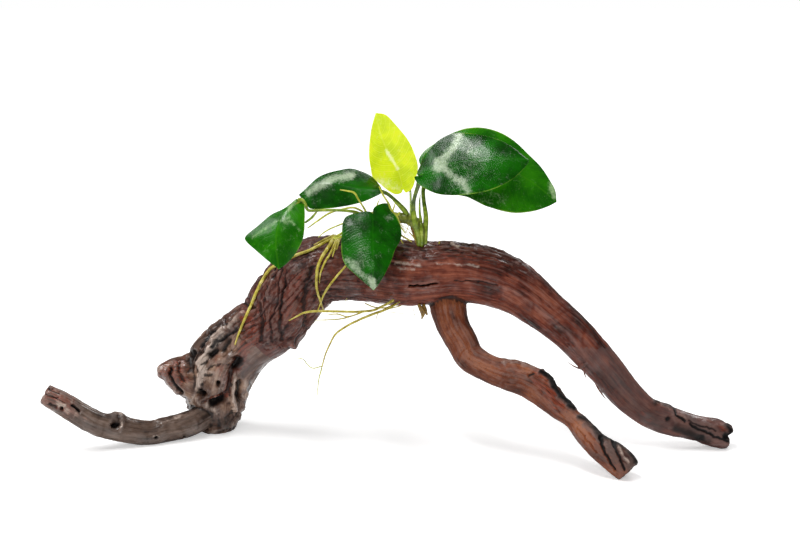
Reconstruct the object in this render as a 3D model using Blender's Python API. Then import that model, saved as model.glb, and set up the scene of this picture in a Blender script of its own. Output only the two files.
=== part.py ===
"""A small anubias plant growing on an arched piece of driftwood, standing on three feet.

Everything is laid out as a draughtsman would from a front view drawn 12 degrees above level.
A point is given as (across, up, back): millimetres to the right, millimetres up the picture
plane, and millimetres behind the middle of the wood. seen() turns it into a place in the world.
Lengths in the tables are millimetres, and the finished meshes are in metres with +Z up.
"""
import math

import bmesh
import bpy
from mathutils import Vector
from mathutils.bvhtree import BVHTree

# Driving dimensions, in millimetres
MM = 0.001
VIEW_TILT = math.radians(12.0)
VIEW_DISTANCE = 944.0
VIEW_ACROSS = 8.0
VIEW_UP = 90.0
ORIGIN_SHIFT = Vector((-1.6, 9.8, 0.0))
GAP = 0.3
LEAF_THICKNESS = 0.8
ROOT_RADIUS = 0.65
WOOD_SIDES = 16
RHIZOME_SIDES = 12
STALK_SIDES = 8
ROOT_SIDES = 6
ROOT_TAPER = 0.45
ROOT_CLEARANCE = 0.75
BLADE_ROWS = 10
BLADE_COLUMNS = 6
NARROWEST_HALF_WIDTH = 0.5
MERGE_DISTANCE = 0.05
SHARP_ANGLE = math.radians(50.0)

# How far in front of and behind the middle a line of sight is followed to find the wood
SIGHT_REACH = 60.0

# A blade starts and ends a little short of its midrib, as shares of the midrib's length
BLADE_START = 0.004
BLADE_SHARE = 0.988

# Shape of a blade: how much the tip narrows and how suddenly, how fast the base lobes fade
TIP_NARROWING = 0.75
TIP_POWER = 7
LOBE_FADE = 6
LOBE_POWER = 1.5

# The direction in which the front view looks
VIEW_AXIS = Vector((0.0, math.cos(VIEW_TILT), -math.sin(VIEW_TILT)))

# The main run of wood from the left foot over the arch to the right foot.
# Each station is across, up, back, half width in the view, half depth.
SPINE = [
    (-83.5, -4.0, 30.0, 7.0, 9.0),
    (-83.0, 6.0, 30.0, 8.5, 11.0),
    (-83.5, 14.0, 29.0, 11.0, 13.0),
    (-84.0, 22.0, 27.0, 14.4, 14.5),
    (-83.0, 33.0, 24.0, 17.0, 15.5),
    (-78.5, 44.0, 21.0, 17.8, 16.0),
    (-68.5, 54.0, 18.0, 16.0, 16.0),
    (-56.5, 62.5, 15.0, 16.3, 16.0),
    (-46.0, 77.0, 12.0, 17.2, 16.0),
    (-34.5, 87.5, 9.0, 16.5, 15.5),
    (-19.5, 89.5, 7.0, 15.5, 15.0),
    (-6.0, 89.0, 6.0, 16.2, 15.5),
    (9.0, 87.0, 5.0, 16.2, 15.5),
    (22.0, 87.0, 4.0, 15.8, 15.0),
    (35.5, 87.5, 4.0, 15.0, 14.0),
    (48.0, 86.0, 3.0, 14.5, 13.5),
    (58.0, 83.0, 3.0, 14.0, 13.0),
    (68.0, 78.0, 2.0, 12.8, 12.0),
    (81.5, 67.5, 2.0, 10.8, 11.0),
    (93.0, 58.0, 1.0, 10.0, 10.5),
    (103.0, 47.5, 0.0, 9.5, 10.0),
    (112.0, 37.5, -1.0, 8.8, 9.5),
    (121.0, 26.5, -2.0, 8.2, 9.0),
    (131.5, 17.5, -3.0, 7.2, 8.0),
    (141.5, 13.5, -4.0, 7.4, 8.0),
    (154.0, 9.0, -5.0, 6.5, 8.0),
    (166.0, 6.0, -6.0, 6.8, 8.0),
    (172.5, 5.0, -6.5, 5.4, 6.0),
]

# Sections made between two stations of the wood, the stems, a midrib and the roots
STEPS = 2
STEM_STEPS = 3
MIDRIB_STEPS = 8
ROOT_STEPS = 4

# The sections at which the spine is split
KNOT_END = 13
FORK = 28

FRONT_LEG = [
    (31.5, 81.0, 4.0, 8.5, 8.0),
    (32.0, 71.0, 1.0, 9.2, 9.0),
    (34.5, 61.0, -3.0, 8.3, 8.5),
    (39.0, 52.5, -8.0, 7.8, 8.0),
    (43.0, 45.0, -12.0, 7.4, 8.0),
    (51.0, 40.0, -17.0, 7.0, 7.5),
    (60.0, 36.5, -22.0, 7.5, 8.0),
    (70.0, 33.5, -27.0, 8.0, 8.0),
    (78.0, 28.5, -31.0, 7.7, 8.0),
    (86.5, 20.5, -36.0, 6.0, 7.0),
    (95.0, 13.5, -41.0, 4.7, 6.0),
    (100.0, 7.0, -45.0, 5.4, 6.5),
    (107.0, 0.0, -49.0, 6.0, 7.0),
    (116.0, -6.5, -53.0, 7.0, 7.5),
    (122.0, -12.0, -56.0, 6.3, 6.5),
]

LEFT_LIMB = [
    (-82.0, 21.0, 24.0, 5.0, 5.5),
    (-95.5, 12.5, 12.0, 6.5, 7.0),
    (-110.5, 8.5, 4.0, 6.2, 7.0),
    (-118.5, 7.0, 0.0, 6.0, 6.5),
    (-131.5, 9.0, -4.0, 6.5, 6.5),
    (-142.5, 11.5, -8.0, 6.2, 6.5),
    (-152.0, 16.5, -11.0, 6.0, 6.0),
    (-160.0, 21.5, -13.0, 5.8, 6.0),
    (-169.5, 26.5, -15.0, 5.2, 5.5),
]

KNOT_STUB = [
    (-84.0, 35.5, 25.0, 9.0, 9.0),
    (-95.0, 35.5, 21.5, 12.5, 11.0),
    (-101.0, 36.5, 19.5, 10.0, 9.5),
    (-107.0, 37.5, 17.5, 6.5, 7.0),
    (-113.2, 37.5, 16.0, 2.6, 3.2),
]

# The creeping stem: across, up, back, radius
RHIZOME = [
    (17.5, 101.5, 3.0, 4.6),
    (17.2, 107.0, 2.5, 4.5),
    (14.5, 111.5, 1.5, 4.3),
    (8.0, 114.2, 0.0, 3.9),
    (-1.0, 115.4, -2.5, 3.5),
    (-9.0, 115.8, -4.5, 3.2),
    (-16.0, 115.4, -6.5, 2.2),
]

# Leaf stalks: across, up, back, radius
STALKS = {
    "front_right": [
        (14.5, 110.0, 0.0, 1.2),
        (14.4, 118.0, -0.8, 1.1),
        (15.0, 124.0, -2.0, 1.05),
        (16.2, 129.5, -2.4, 1.1),
        (17.0, 133.6, -2.9, 1.2),
    ],
    "rear_right": [
        (19.0, 108.0, 5.0, 1.2),
        (20.0, 117.0, 6.0, 1.1),
        (19.8, 122.5, 6.8, 1.05),
        (20.5, 130.5, 8.6, 1.1),
        (23.0, 137.4, 10.6, 1.2),
    ],
    "young": [
        (14.8, 109.5, 2.5, 0.9),
        (13.6, 118.5, 7.3, 0.8),
        (13.6, 124.5, 12.0, 0.75),
        (12.4, 129.2, 16.2, 0.8),
        (9.8, 131.0, 17.7, 0.85),
    ],
    "rear_left": [
        (8.5, 113.5, 1.0, 1.1),
        (6.5, 120.5, 0.6, 1.0),
        (2.8, 125.5, 0.2, 1.0),
        (-0.4, 127.3, -0.6, 1.1),
    ],
    "far_left": [
        (-10.0, 115.5, -4.5, 1.1),
        (-15.0, 117.6, -12.0, 1.0),
        (-25.0, 118.4, -16.5, 0.95),
        (-34.0, 118.2, -18.0, 0.95),
        (-39.8, 120.6, -18.0, 1.0),
        (-42.3, 122.2, -17.4, 1.1),
    ],
    "front_middle": [
        (3.0, 114.0, -1.5, 1.2),
        (0.8, 113.8, -6.5, 1.05),
        (-2.6, 113.6, -10.5, 1.05),
        (-5.0, 114.4, -13.2, 1.15),
    ],
}

# Leaf blades. midrib: across, up, back. faces: the way the upper side looks at base and tip.
# half: widest half width. fold: how far the halves bend away from the facing direction at the
# midrib, in degrees. cup: how much of the half width the edges drop below that.
# broad: where along the blade it is widest. lobes: how far the two base lobes reach back.
BLADES = {
    "front_right": {
        "midrib": [(17.6, 135.8, -4.9), (30.0, 141.4, -9.0), (50.0, 143.8, -12.0), (72.5, 143.6, -12.0)],
        "faces": [(-0.15, -0.80, 0.58), (0.10, -0.78, 0.62)],
        "half": 17.9, "fold": 8.0, "cup": 0.10, "broad": 0.47, "lobes": (2.0, 2.0),
    },
    "rear_right": {
        "midrib": [(24.2, 139.2, 9.2), (42.0, 142.0, 12.0), (63.0, 136.5, 13.0), (86.2, 122.8, 9.0)],
        "faces": [(-0.10, -0.76, 0.62), (0.25, -0.80, 0.50)],
        "half": 21.0, "fold": 6.0, "cup": 0.06, "broad": 0.50, "lobes": (3.0, 3.0),
    },
    "young": {
        "midrib": [(8.5, 130.5, 15.4), (6.0, 140.0, 14.5), (2.8, 151.5, 12.5), (-4.0, 166.6, 10.0)],
        "faces": [(0.10, -0.98, 0.10), (0.10, -0.98, 0.15)],
        "half": 11.6, "fold": -8.0, "cup": -0.08, "broad": 0.36, "lobes": (2.0, 2.0),
    },
    "rear_left": {
        "midrib": [(-1.4, 128.4, -2.0), (-14.0, 131.2, -2.0), (-29.0, 130.6, -1.5), (-42.6, 126.2, -1.0)],
        "faces": [(0.05, -0.63, 0.78), (-0.10, -0.63, 0.78)],
        "half": 14.0, "fold": 18.0, "cup": 0.08, "broad": 0.50, "lobes": (1.5, 1.5),
    },
    "far_left": {
        "midrib": [(-43.2, 123.6, -19.2), (-51.5, 117.5, -25.5), (-57.0, 106.0, -32.0), (-52.8, 89.3, -35.5)],
        "faces": [(-0.45, -0.45, 0.77), (-0.05, -0.95, 0.30)],
        "half": 15.0, "fold": 14.0, "cup": 0.20, "broad": 0.48, "lobes": (2.0, 2.0),
    },
    "front_middle": {
        "midrib": [(-5.4, 116.6, -15.0), (-5.6, 108.0, -23.0), (-5.8, 95.0, -31.0), (-5.4, 78.5, -37.0)],
        "faces": [(0.00, -0.70, 0.70), (0.00, -0.95, 0.30)],
        "half": 15.2, "fold": 8.0, "cup": 0.10, "broad": 0.42, "lobes": (6.0, 2.5),
    },
}

# Roots that lie on the wood: across and up of each point they pass, first to last
CLINGING_ROOTS = {
    "root_long_left": [
        (-29.0, 102.5), (-36.0, 98.5), (-44.5, 95.0), (-55.0, 89.5), (-61.0, 82.5),
        (-65.5, 72.0), (-70.0, 61.5), (-74.0, 51.0),
    ],
    "root_middle": [
        (-26.0, 102.0), (-29.0, 97.0), (-32.0, 91.5), (-33.5, 85.5), (-33.4, 78.5),
    ],
    "root_short_right": [
        (-19.5, 89.0), (-26.0, 82.5), (-30.5, 75.5), (-33.0, 68.5),
    ],
}

# Roots that hang or reach freely: across, up, back
FREE_ROOTS = {
    "root_under_arch": [
        (3.0, 71.5, -10.5), (-5.0, 68.5, -15.5), (-18.0, 67.3, -17.5), (-32.0, 67.8, -17.5),
        (-40.0, 66.8, -17.0), (-47.0, 63.2, -17.5),
    ],
    "root_hanging": [
        (-4.0, 65.8, -12.0), (-12.0, 63.5, -10.0), (-18.0, 60.6, -9.0), (-24.5, 56.0, -9.5),
        (-27.0, 51.0, -11.0), (-29.0, 46.6, -12.0),
    ],
    "root_hair_long": [
        (-29.4, 44.8, -12.4), (-31.0, 40.5, -13.0), (-32.6, 34.5, -12.0), (-33.4, 26.2, -11.0),
    ],
    "root_air_left": [
        (-16.5, 114.4, -10.6), (-23.0, 114.6, -11.5), (-30.0, 111.8, -12.0), (-38.0, 107.0, -12.0),
    ],
    "root_air_right": [
        (-2.0, 128.0, -7.0), (1.0, 124.6, -7.5), (4.0, 119.8, -7.2), (7.0, 114.6, -6.4),
        (9.0, 110.4, -6.0),
    ],
}

COLOURS = {
    "driftwood": ((0.115, 0.048, 0.032), 0.45),
    "root_knot": ((0.135, 0.075, 0.055), 0.60),
    "rhizome": ((0.16, 0.24, 0.05), 0.40),
    "stalk": ((0.25, 0.42, 0.06), 0.35),
    "leaf": ((0.012, 0.085, 0.014), 0.25),
    "young_leaf": ((0.55, 0.72, 0.03), 0.35),
    "root": ((0.42, 0.42, 0.09), 0.50),
}


def clear_scene():
    for thing in list(bpy.data.objects):
        bpy.data.objects.remove(thing, do_unlink=True)


def seen(across, up, back):
    """Place in millimetres of a point of the front view, and how much its depth enlarges it."""
    sideways = (across - VIEW_ACROSS) / VIEW_DISTANCE
    upward = (up - VIEW_UP) / VIEW_DISTANCE
    lift = VIEW_UP / math.cos(VIEW_TILT) + VIEW_DISTANCE * math.sin(VIEW_TILT)
    fall = math.cos(VIEW_TILT) + upward * math.sin(VIEW_TILT)
    reach = (back + VIEW_DISTANCE * math.cos(VIEW_TILT)) / fall
    place = Vector((
        VIEW_ACROSS + reach * sideways,
        back,
        lift + reach * (upward * math.cos(VIEW_TILT) - math.sin(VIEW_TILT)),
    ))
    return place + ORIGIN_SHIFT, reach / VIEW_DISTANCE


def smooth_run(stations, steps):
    """Points along a smooth curve through the stations, steps to each span."""
    count = len(stations)
    run = []
    for i in range(count - 1):
        before = stations[max(i - 1, 0)]
        after = stations[min(i + 2, count - 1)]
        for k in range(steps):
            run.append(between(before, stations[i], stations[i + 1], after, k / steps))
    run.append(tuple(stations[-1]))
    return run


def between(p0, p1, p2, p3, t):
    return tuple(
        0.5 * (2 * b + (c - a) * t + (2 * a - 5 * b + 4 * c - d) * t ** 2 + (3 * b - a - 3 * c + d) * t ** 3)
        for a, b, c, d in zip(p0, p1, p2, p3)
    )


def directions(centres):
    """The way a run of points is heading at each point."""
    last = len(centres) - 1
    return [(centres[min(i + 1, last)] - centres[max(i - 1, 0)]).normalized() for i in range(last + 1)]


def ring_axes(heading):
    """Two directions square to the heading: one in the picture plane, one in depth."""
    side = VIEW_AXIS.cross(heading)
    side.normalize()
    return side, heading.cross(side).normalized()


def sections(stations, steps, extra=0.0):
    """Centre, heading, half width and half depth in the world, steps times between two stations."""
    run = smooth_run(stations, steps)
    seats = [seen(*station[:3]) for station in run]
    headings = directions([centre for centre, _ in seats])
    return [
        (centre, heading, station[3] * scale + extra, station[-1] * scale + extra)
        for (centre, scale), heading, station in zip(seats, headings, run)
    ]


def limb_mesh(run, sides):
    """A closed tube with an oval section through the given sections."""
    bm = bmesh.new()
    rings = []
    for centre, heading, width, depth in run:
        side, deep = ring_axes(heading)
        ring = []
        for i in range(sides):
            angle = math.tau * (i + 0.5) / sides
            place = centre + side * (width * math.cos(angle)) + deep * (depth * math.sin(angle))
            ring.append(bm.verts.new(place))
        rings.append(ring)
    bridge(bm, rings, closed=True)
    bm.faces.new(reversed(rings[0]))
    bm.faces.new(rings[-1])
    bmesh.ops.recalc_face_normals(bm, faces=bm.faces[:])
    return bm


def bridge(bm, rings, closed):
    for lower, upper in zip(rings, rings[1:]):
        count = len(lower)
        for i in range(count if closed else count - 1):
            j = (i + 1) % count
            bm.faces.new((lower[i], lower[j], upper[j], upper[i]))


def stand_flat(bm):
    """Cut everything below the ground away and close the cut with a flat face."""
    bottom = bm.verts[:] + bm.edges[:] + bm.faces[:]
    ground = Vector((0.0, 0.0, ORIGIN_SHIFT.z))
    cut = bmesh.ops.bisect_plane(
        bm, geom=bottom, plane_co=ground, plane_no=Vector((0.0, 0.0, 1.0)), clear_inner=True,
    )
    rim = [item for item in cut["geom_cut"] if isinstance(item, bmesh.types.BMEdge)]
    if rim:
        bmesh.ops.remove_doubles(bm, verts=bm.verts[:], dist=MERGE_DISTANCE)
        rim = [edge for edge in bm.edges if edge.is_boundary]
        bmesh.ops.contextual_create(bm, geom=rim)
        bmesh.ops.recalc_face_normals(bm, faces=bm.faces[:])


def material(slot):
    name = slot + "_look"
    found = bpy.data.materials.get(name)
    if found:
        return found
    made = bpy.data.materials.new(name)
    made.use_nodes = True
    colour, roughness = COLOURS[slot]
    shader = made.node_tree.nodes["Principled BSDF"]
    shader.inputs["Base Color"].default_value = (*colour, 1.0)
    shader.inputs["Roughness"].default_value = roughness
    shader.inputs["Metallic"].default_value = 0.0
    made.diffuse_color = (*colour, 1.0)
    return made


def keep(bm, name, slot):
    """Turn a mesh in millimetres into a named object in metres."""
    bmesh.ops.scale(bm, vec=(MM, MM, MM), verts=bm.verts[:])
    mesh = bpy.data.meshes.new(name)
    bm.to_mesh(mesh)
    bm.free()
    mesh.shade_smooth()
    mesh.set_sharp_from_angle(angle=SHARP_ANGLE)
    thing = bpy.data.objects.new(name, mesh)
    bpy.context.scene.collection.objects.link(thing)
    thing.data.materials.append(material(slot))
    return thing


def cutter(bm, name):
    thing = keep(bm, name, "driftwood")
    thing.hide_render = True
    thing.display_type = "WIRE"
    return thing


def cut_away(thing, tool):
    cut = thing.modifiers.new("clear_of_" + tool.name, "BOOLEAN")
    cut.operation = "DIFFERENCE"
    cut.object = tool


def make_wood():
    """The five pieces of driftwood, split where it forks, and the surface that roots lie on."""
    spine = sections(SPINE, STEPS)
    knot = limb_mesh(spine[:KNOT_END + 1], WOOD_SIDES)
    stand_flat(knot)
    arch = limb_mesh(spine[KNOT_END:FORK + 1], WOOD_SIDES)
    right = limb_mesh(spine[FORK:], WOOD_SIDES)
    for bm in (arch, right):
        set_back_first_ring(bm)
    stand_flat(right)
    surface = BVHTree.FromBMesh(arch), BVHTree.FromBMesh(knot)
    keep(knot, "driftwood_root_knot", "root_knot")
    keep(arch, "driftwood_arch", "driftwood")
    keep(right, "driftwood_right_leg", "driftwood")
    clearance = cutter(limb_mesh(sections(SPINE, STEPS, GAP), WOOD_SIDES), "spine_clearance")
    offshoots = (
        ("driftwood_front_leg", FRONT_LEG, "driftwood"),
        ("driftwood_left_limb", LEFT_LIMB, "root_knot"),
        ("driftwood_knot_stub", KNOT_STUB, "root_knot"),
    )
    for name, stations, slot in offshoots:
        bm = limb_mesh(sections(stations, STEPS), WOOD_SIDES)
        stand_flat(bm)
        cut_away(keep(bm, name, slot), clearance)
    return surface, clearance


def set_back_first_ring(bm):
    """Move a piece's first ring along the wood so that it clears the piece before it."""
    bm.verts.ensure_lookup_table()
    first = bm.verts[:WOOD_SIDES]
    second = bm.verts[WOOD_SIDES:2 * WOOD_SIDES]
    start = sum((v.co for v in first), Vector()) / WOOD_SIDES
    onward = sum((v.co for v in second), Vector()) / WOOD_SIDES
    step = (onward - start).normalized() * GAP
    for vert in first:
        vert.co += step


def blade_half_width(s, broad):
    """Half width along an egg-shaped blade with a drawn-out tip, as a share of the widest."""
    power = math.log(0.5) / math.log(broad)
    across = 2.0 * s ** power - 1.0
    egg = math.sqrt(max(0.0, 1.0 - across * across))
    return egg * (1.0 - TIP_NARROWING * s ** TIP_POWER)


def blade_points(spec, rows, columns):
    """Middle surface of a blade as rows from base to tip, with the upward direction at each."""
    midrib = [seen(*p)[0] for p in smooth_run(spec["midrib"], MIDRIB_STEPS)]
    headings = directions(midrib)
    base_face, tip_face = (Vector(face) for face in spec["faces"])
    fold = math.radians(spec["fold"])
    grid = []
    for i in range(rows + 1):
        s = BLADE_START + BLADE_SHARE * i / rows
        spot = s * (len(midrib) - 1)
        k = min(int(spot), len(midrib) - 2)
        centre = midrib[k].lerp(midrib[k + 1], spot - k)
        heading = headings[k].lerp(headings[k + 1], spot - k).normalized()
        face = base_face.lerp(tip_face, s)
        face = (face - heading * face.dot(heading)).normalized()
        side = heading.cross(face)
        half = max(NARROWEST_HALF_WIDTH, spec["half"] * blade_half_width(s, spec["broad"]))
        row = []
        for j in range(columns + 1):
            t = 2.0 * j / columns - 1.0
            out = abs(t) * half
            drop = out * math.sin(fold) + spec["cup"] * half * t * t
            lobe = spec["lobes"][0 if t < 0.0 else 1] * (1.0 - s) ** LOBE_FADE * abs(t) ** LOBE_POWER
            row.append(
                centre
                + side * (math.copysign(1.0, t) * out * math.cos(fold))
                - face * drop
                - heading * lobe
            )
        grid.append(row)
    return grid


def blade_mesh(spec):
    """A blade as a closed thin solid: upper side, under side and the rim between them."""
    rows, columns = BLADE_ROWS, BLADE_COLUMNS
    grid = blade_points(spec, rows, columns)
    bm = bmesh.new()
    upper = []
    under = []
    for i, row in enumerate(grid):
        upper_row = []
        under_row = []
        for j, place in enumerate(row):
            along = grid[min(i + 1, rows)][j] - grid[max(i - 1, 0)][j]
            across = row[min(j + 1, columns)] - row[max(j - 1, 0)]
            normal = across.cross(along).normalized() * (LEAF_THICKNESS / 2)
            upper_row.append(bm.verts.new(place + normal))
            under_row.append(bm.verts.new(place - normal))
        upper.append(upper_row)
        under.append(under_row)
    bridge(bm, upper, closed=False)
    bridge(bm, [list(reversed(row)) for row in under], closed=False)
    left = [row[0] for row in upper], [row[0] for row in under]
    right = [row[-1] for row in upper], [row[-1] for row in under]
    bridge(bm, [left[1], left[0]], closed=False)
    bridge(bm, [right[0], right[1]], closed=False)
    bridge(bm, [upper[0], under[0]], closed=False)
    bridge(bm, [under[-1], upper[-1]], closed=False)
    bmesh.ops.recalc_face_normals(bm, faces=bm.faces[:])
    return bm


def make_plant(wood_clearance):
    rhizome = keep(limb_mesh(sections(RHIZOME, STEM_STEPS), RHIZOME_SIDES), "rhizome", "rhizome")
    cut_away(rhizome, wood_clearance)
    clearance = cutter(limb_mesh(sections(RHIZOME, STEM_STEPS, GAP), RHIZOME_SIDES), "rhizome_clearance")
    for leaf, stations in STALKS.items():
        stalk = keep(limb_mesh(sections(stations, STEM_STEPS), STALK_SIDES), "leaf_stalk_" + leaf, "stalk")
        cut_away(stalk, clearance)
    for leaf, spec in BLADES.items():
        slot = "young_leaf" if leaf == "young" else "leaf"
        keep(blade_mesh(spec), "leaf_blade_" + leaf, slot)


def on_wood(surface, across, up, clear):
    """Where the front view's line through a point meets the wood, held clear of it."""
    near = seen(across, up, -SIGHT_REACH)[0]
    far = seen(across, up, SIGHT_REACH)[0]
    ray = (far - near).normalized()
    hits = [tree.ray_cast(near, ray) for tree in surface]
    hits = [hit for hit in hits if hit[0] is not None]
    if not hits:
        return None
    place, normal, _, _ = min(hits, key=lambda hit: hit[3])
    return place + normal * clear


def root_mesh(centres, radius):
    """A root that thins towards its end, as a closed tube through places in the world."""
    bm = bmesh.new()
    rings = []
    last = len(centres) - 1
    for i, (centre, heading) in enumerate(zip(centres, directions(centres))):
        side, deep = ring_axes(heading)
        half = radius * (1.0 - ROOT_TAPER * i / last)
        rings.append([
            bm.verts.new(centre + (side * math.cos(a) + deep * math.sin(a)) * half)
            for a in (math.tau * k / ROOT_SIDES for k in range(ROOT_SIDES))
        ])
    bridge(bm, rings, closed=True)
    bm.faces.new(reversed(rings[0]))
    bm.faces.new(rings[-1])
    bmesh.ops.recalc_face_normals(bm, faces=bm.faces[:])
    return bm


def make_roots(surface):
    clear = ROOT_RADIUS + ROOT_CLEARANCE
    for name, stations in CLINGING_ROOTS.items():
        run = [on_wood(surface, across, up, clear) for across, up in smooth_run(stations, ROOT_STEPS)]
        keep(root_mesh([place for place in run if place], ROOT_RADIUS), name, "root")
    for name, stations in FREE_ROOTS.items():
        run = [seen(*p)[0] for p in smooth_run(stations, ROOT_STEPS)]
        keep(root_mesh(run, ROOT_RADIUS), name, "root")


clear_scene()
wood_surface, wood_clearance = make_wood()
make_plant(wood_clearance)
make_roots(wood_surface)
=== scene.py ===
# %% [markdown]
# # A dwarf anubias on driftwood
# A small water plant sits on top of an arched branch that stands on three feet. The wood is one
# weathered branch with a gnarled root end, the plant has a creeping stem, six leaves and loose
# yellow roots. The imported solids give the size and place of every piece, and this script gives
# each of them its real skin. It starts by loading those solids as a frame that never moves.

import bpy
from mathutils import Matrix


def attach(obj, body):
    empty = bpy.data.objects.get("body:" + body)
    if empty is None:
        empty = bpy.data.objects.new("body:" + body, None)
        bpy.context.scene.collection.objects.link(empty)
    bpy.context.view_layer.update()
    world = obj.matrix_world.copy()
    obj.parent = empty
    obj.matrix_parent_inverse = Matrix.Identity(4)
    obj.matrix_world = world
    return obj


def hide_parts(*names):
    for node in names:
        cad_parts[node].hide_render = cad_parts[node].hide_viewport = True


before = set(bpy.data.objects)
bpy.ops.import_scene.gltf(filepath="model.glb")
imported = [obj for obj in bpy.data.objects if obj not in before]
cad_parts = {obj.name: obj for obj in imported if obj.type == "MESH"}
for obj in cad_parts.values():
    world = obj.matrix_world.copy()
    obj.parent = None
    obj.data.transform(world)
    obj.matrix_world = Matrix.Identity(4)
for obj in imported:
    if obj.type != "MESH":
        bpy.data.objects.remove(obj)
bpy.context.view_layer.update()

# %% Modules
import itertools
import math
from types import SimpleNamespace

import bmesh
import bpy
import numpy as np
from mathutils import Vector
from mathutils.bvhtree import BVHTree

# %% [markdown]
# ## The drawing plane
# The branch was laid out from a front view, looking 12 degrees down. A point of that view is
# (across, up) in millimetres on an upright sheet, and its depth is (back), millimetres behind
# the middle of the wood. Working on the sheet keeps each knot and crack where a drawing shows
# it, while the depth column makes the thing round. One function goes from sheet to world and a
# second one goes back, so that marks can be drawn on the finished skin.

# %% Sheet to world and back
MM = 0.001
VIEW_TILT = math.radians(12.0)
VIEW_DISTANCE = 944.0
VIEW_ACROSS = 8.0
VIEW_UP = 90.0
ORIGIN_SHIFT = np.array((-1.6, 9.8, 0.0))
SIDEWAYS = np.array((1.0, 0.0, 0.0))
VIEW_AXIS = np.array((0.0, math.cos(VIEW_TILT), -math.sin(VIEW_TILT)))
VIEW_RISE = np.array((0.0, math.sin(VIEW_TILT), math.cos(VIEW_TILT)))
SHEET_CENTRE = np.array((VIEW_ACROSS, 0.0, VIEW_UP / math.cos(VIEW_TILT)))
EYE = SHEET_CENTRE - VIEW_DISTANCE * VIEW_AXIS


def sight_lines(across, up):
    """Directions from the eye to points of the sheet."""
    beside = SHEET_CENTRE + np.outer(across - VIEW_ACROSS, SIDEWAYS)
    return beside + np.outer(up - VIEW_UP, VIEW_RISE) - EYE


def seen(points):
    """World places, in millimetres, of (across, up, back) points, and how much depth enlarges each."""
    across, up, back = np.asarray(points, float).reshape(-1, 3).T
    ray = sight_lines(across, up)
    scale = (back - EYE[1]) / ray[:, 1]
    return EYE + ray * scale[:, None] + ORIGIN_SHIFT, scale


def on_sheet(places):
    """Where world places show on the sheet: across and up."""
    ray = places - ORIGIN_SHIFT - EYE
    scale = ray @ VIEW_AXIS / VIEW_DISTANCE
    return VIEW_ACROSS + ray[:, 0] / scale, VIEW_UP + ray @ VIEW_RISE / scale


print("middle of the sheet lies at", seen([(VIEW_ACROSS, VIEW_UP, 0.0)])[0][0].round(2))

# %% [markdown]
# ## A bench for node trees
# Every finish is a tree of shader nodes, and so are the light and the floor's glow. Writing one
# out node by node hides what it says, so a small bench keeps the wiring short: it adds a node,
# wires what is handed to it, and gives back the socket that comes out.

# %% A bench for node trees


def paint(*channels):
    """A colour from 0 to 255 a channel, as it looks on a screen, in the linear values of a shader."""
    shares = [channel / 255 for channel in channels]
    return (*(c / 12.92 if c <= 0.04045 else ((c + 0.055) / 1.055) ** 2.4 for c in shares), 1.0)


class Bench:
    """Short ways to add and wire the nodes of one tree."""

    def __init__(self, tree):
        self.tree = tree

    def add(self, kind, inputs=None, out=0, **settings):
        """Add a node and give back one of its outputs, or the node itself where out is None."""
        node = self.tree.nodes.new(kind)
        for key, value in settings.items():
            setattr(node, key, value)
        self.dress(node, inputs or {})
        return node.outputs[out] if out is not None else node

    def feed(self, socket, value):
        if isinstance(value, bpy.types.NodeSocket):
            self.tree.links.new(value, socket)
        else:
            socket.default_value = value

    def dress(self, node, inputs):
        for key, value in inputs.items():
            self.feed(node.inputs[key], value)

    def math(self, operation, *values):
        return self.add("ShaderNodeMath", dict(enumerate(values)), operation=operation)

    def plus(self, *values):
        return self.math("ADD", *values)

    def minus(self, *values):
        return self.math("SUBTRACT", *values)

    def times(self, *values):
        return self.math("MULTIPLY", *values)

    def over(self, *values):
        return self.math("DIVIDE", *values)

    def vector(self, operation, *values):
        return self.add("ShaderNodeVectorMath", dict(enumerate(values)), operation=operation)

    def attribute(self, name, out="Fac"):
        return self.add("ShaderNodeAttribute", out=out, attribute_name=name)

    def noise(self, vector, scale=1.0, detail=2.0, rough=0.5):
        inputs = {"Vector": vector, "Scale": scale, "Detail": detail, "Roughness": rough}
        return self.add("ShaderNodeTexNoise", inputs)

    def unrest(self, reach, *noise):
        """Noise that swings from -reach to reach."""
        return self.between(self.noise(*noise), 0.3, 0.7, -reach, reach)

    def between(self, value, low, high, to_low=0.0, to_high=1.0):
        """value eased from low..high to to_low..to_high."""
        inputs = {"Value": value, "From Min": low, "From Max": high, "To Min": to_low, "To Max": to_high}
        return self.add("ShaderNodeMapRange", inputs, interpolation_type="SMOOTHSTEP")

    def blend(self, share, first, second):
        inputs = {0: share, 6: first, 7: second}
        return self.add("ShaderNodeMix", inputs, 2, data_type="RGBA")

    def colours(self, value, stops):
        node = self.add("ShaderNodeValToRGB", {"Fac": value}, None)
        for index, (place, colour) in enumerate(stops):
            point = node.color_ramp.elements[index] if index < 2 else node.color_ramp.elements.new(place)
            point.position = place
            point.color = colour
        return node.outputs[0]

    def bump(self, height, strength, distance):
        return self.add("ShaderNodeBump", {"Height": height, "Strength": strength, "Distance": distance})

    def group(self, tree, inputs, *out):
        node = self.add("ShaderNodeGroup", inputs, None, node_tree=tree)
        return [node.outputs[key] for key in out]

    def shape(self, kind, inputs=None, out=0, **settings):
        """A geometry node, named without its prefix."""
        return self.add("GeometryNode" + kind, inputs, out, **settings)


def open_group(name, kind, inputs, outputs):
    """An empty group. In: {name: (kind, default)}, or a bare default for a number. Out: {name: kind}."""
    tree = bpy.data.node_groups.new(name, kind)
    for key, value in inputs.items():
        socket_kind, value = value if isinstance(value, tuple) else ("Float", value)
        socket = tree.interface.new_socket(key, in_out="INPUT", socket_type="NodeSocket" + socket_kind)
        if value is not None:
            socket.default_value = value
    for key, socket_kind in outputs.items():
        tree.interface.new_socket(key, in_out="OUTPUT", socket_type="NodeSocket" + socket_kind)
    source = tree.nodes.new("NodeGroupInput")
    drain = tree.nodes.new("NodeGroupOutput")
    return Bench(tree), source.outputs, drain.inputs


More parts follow.
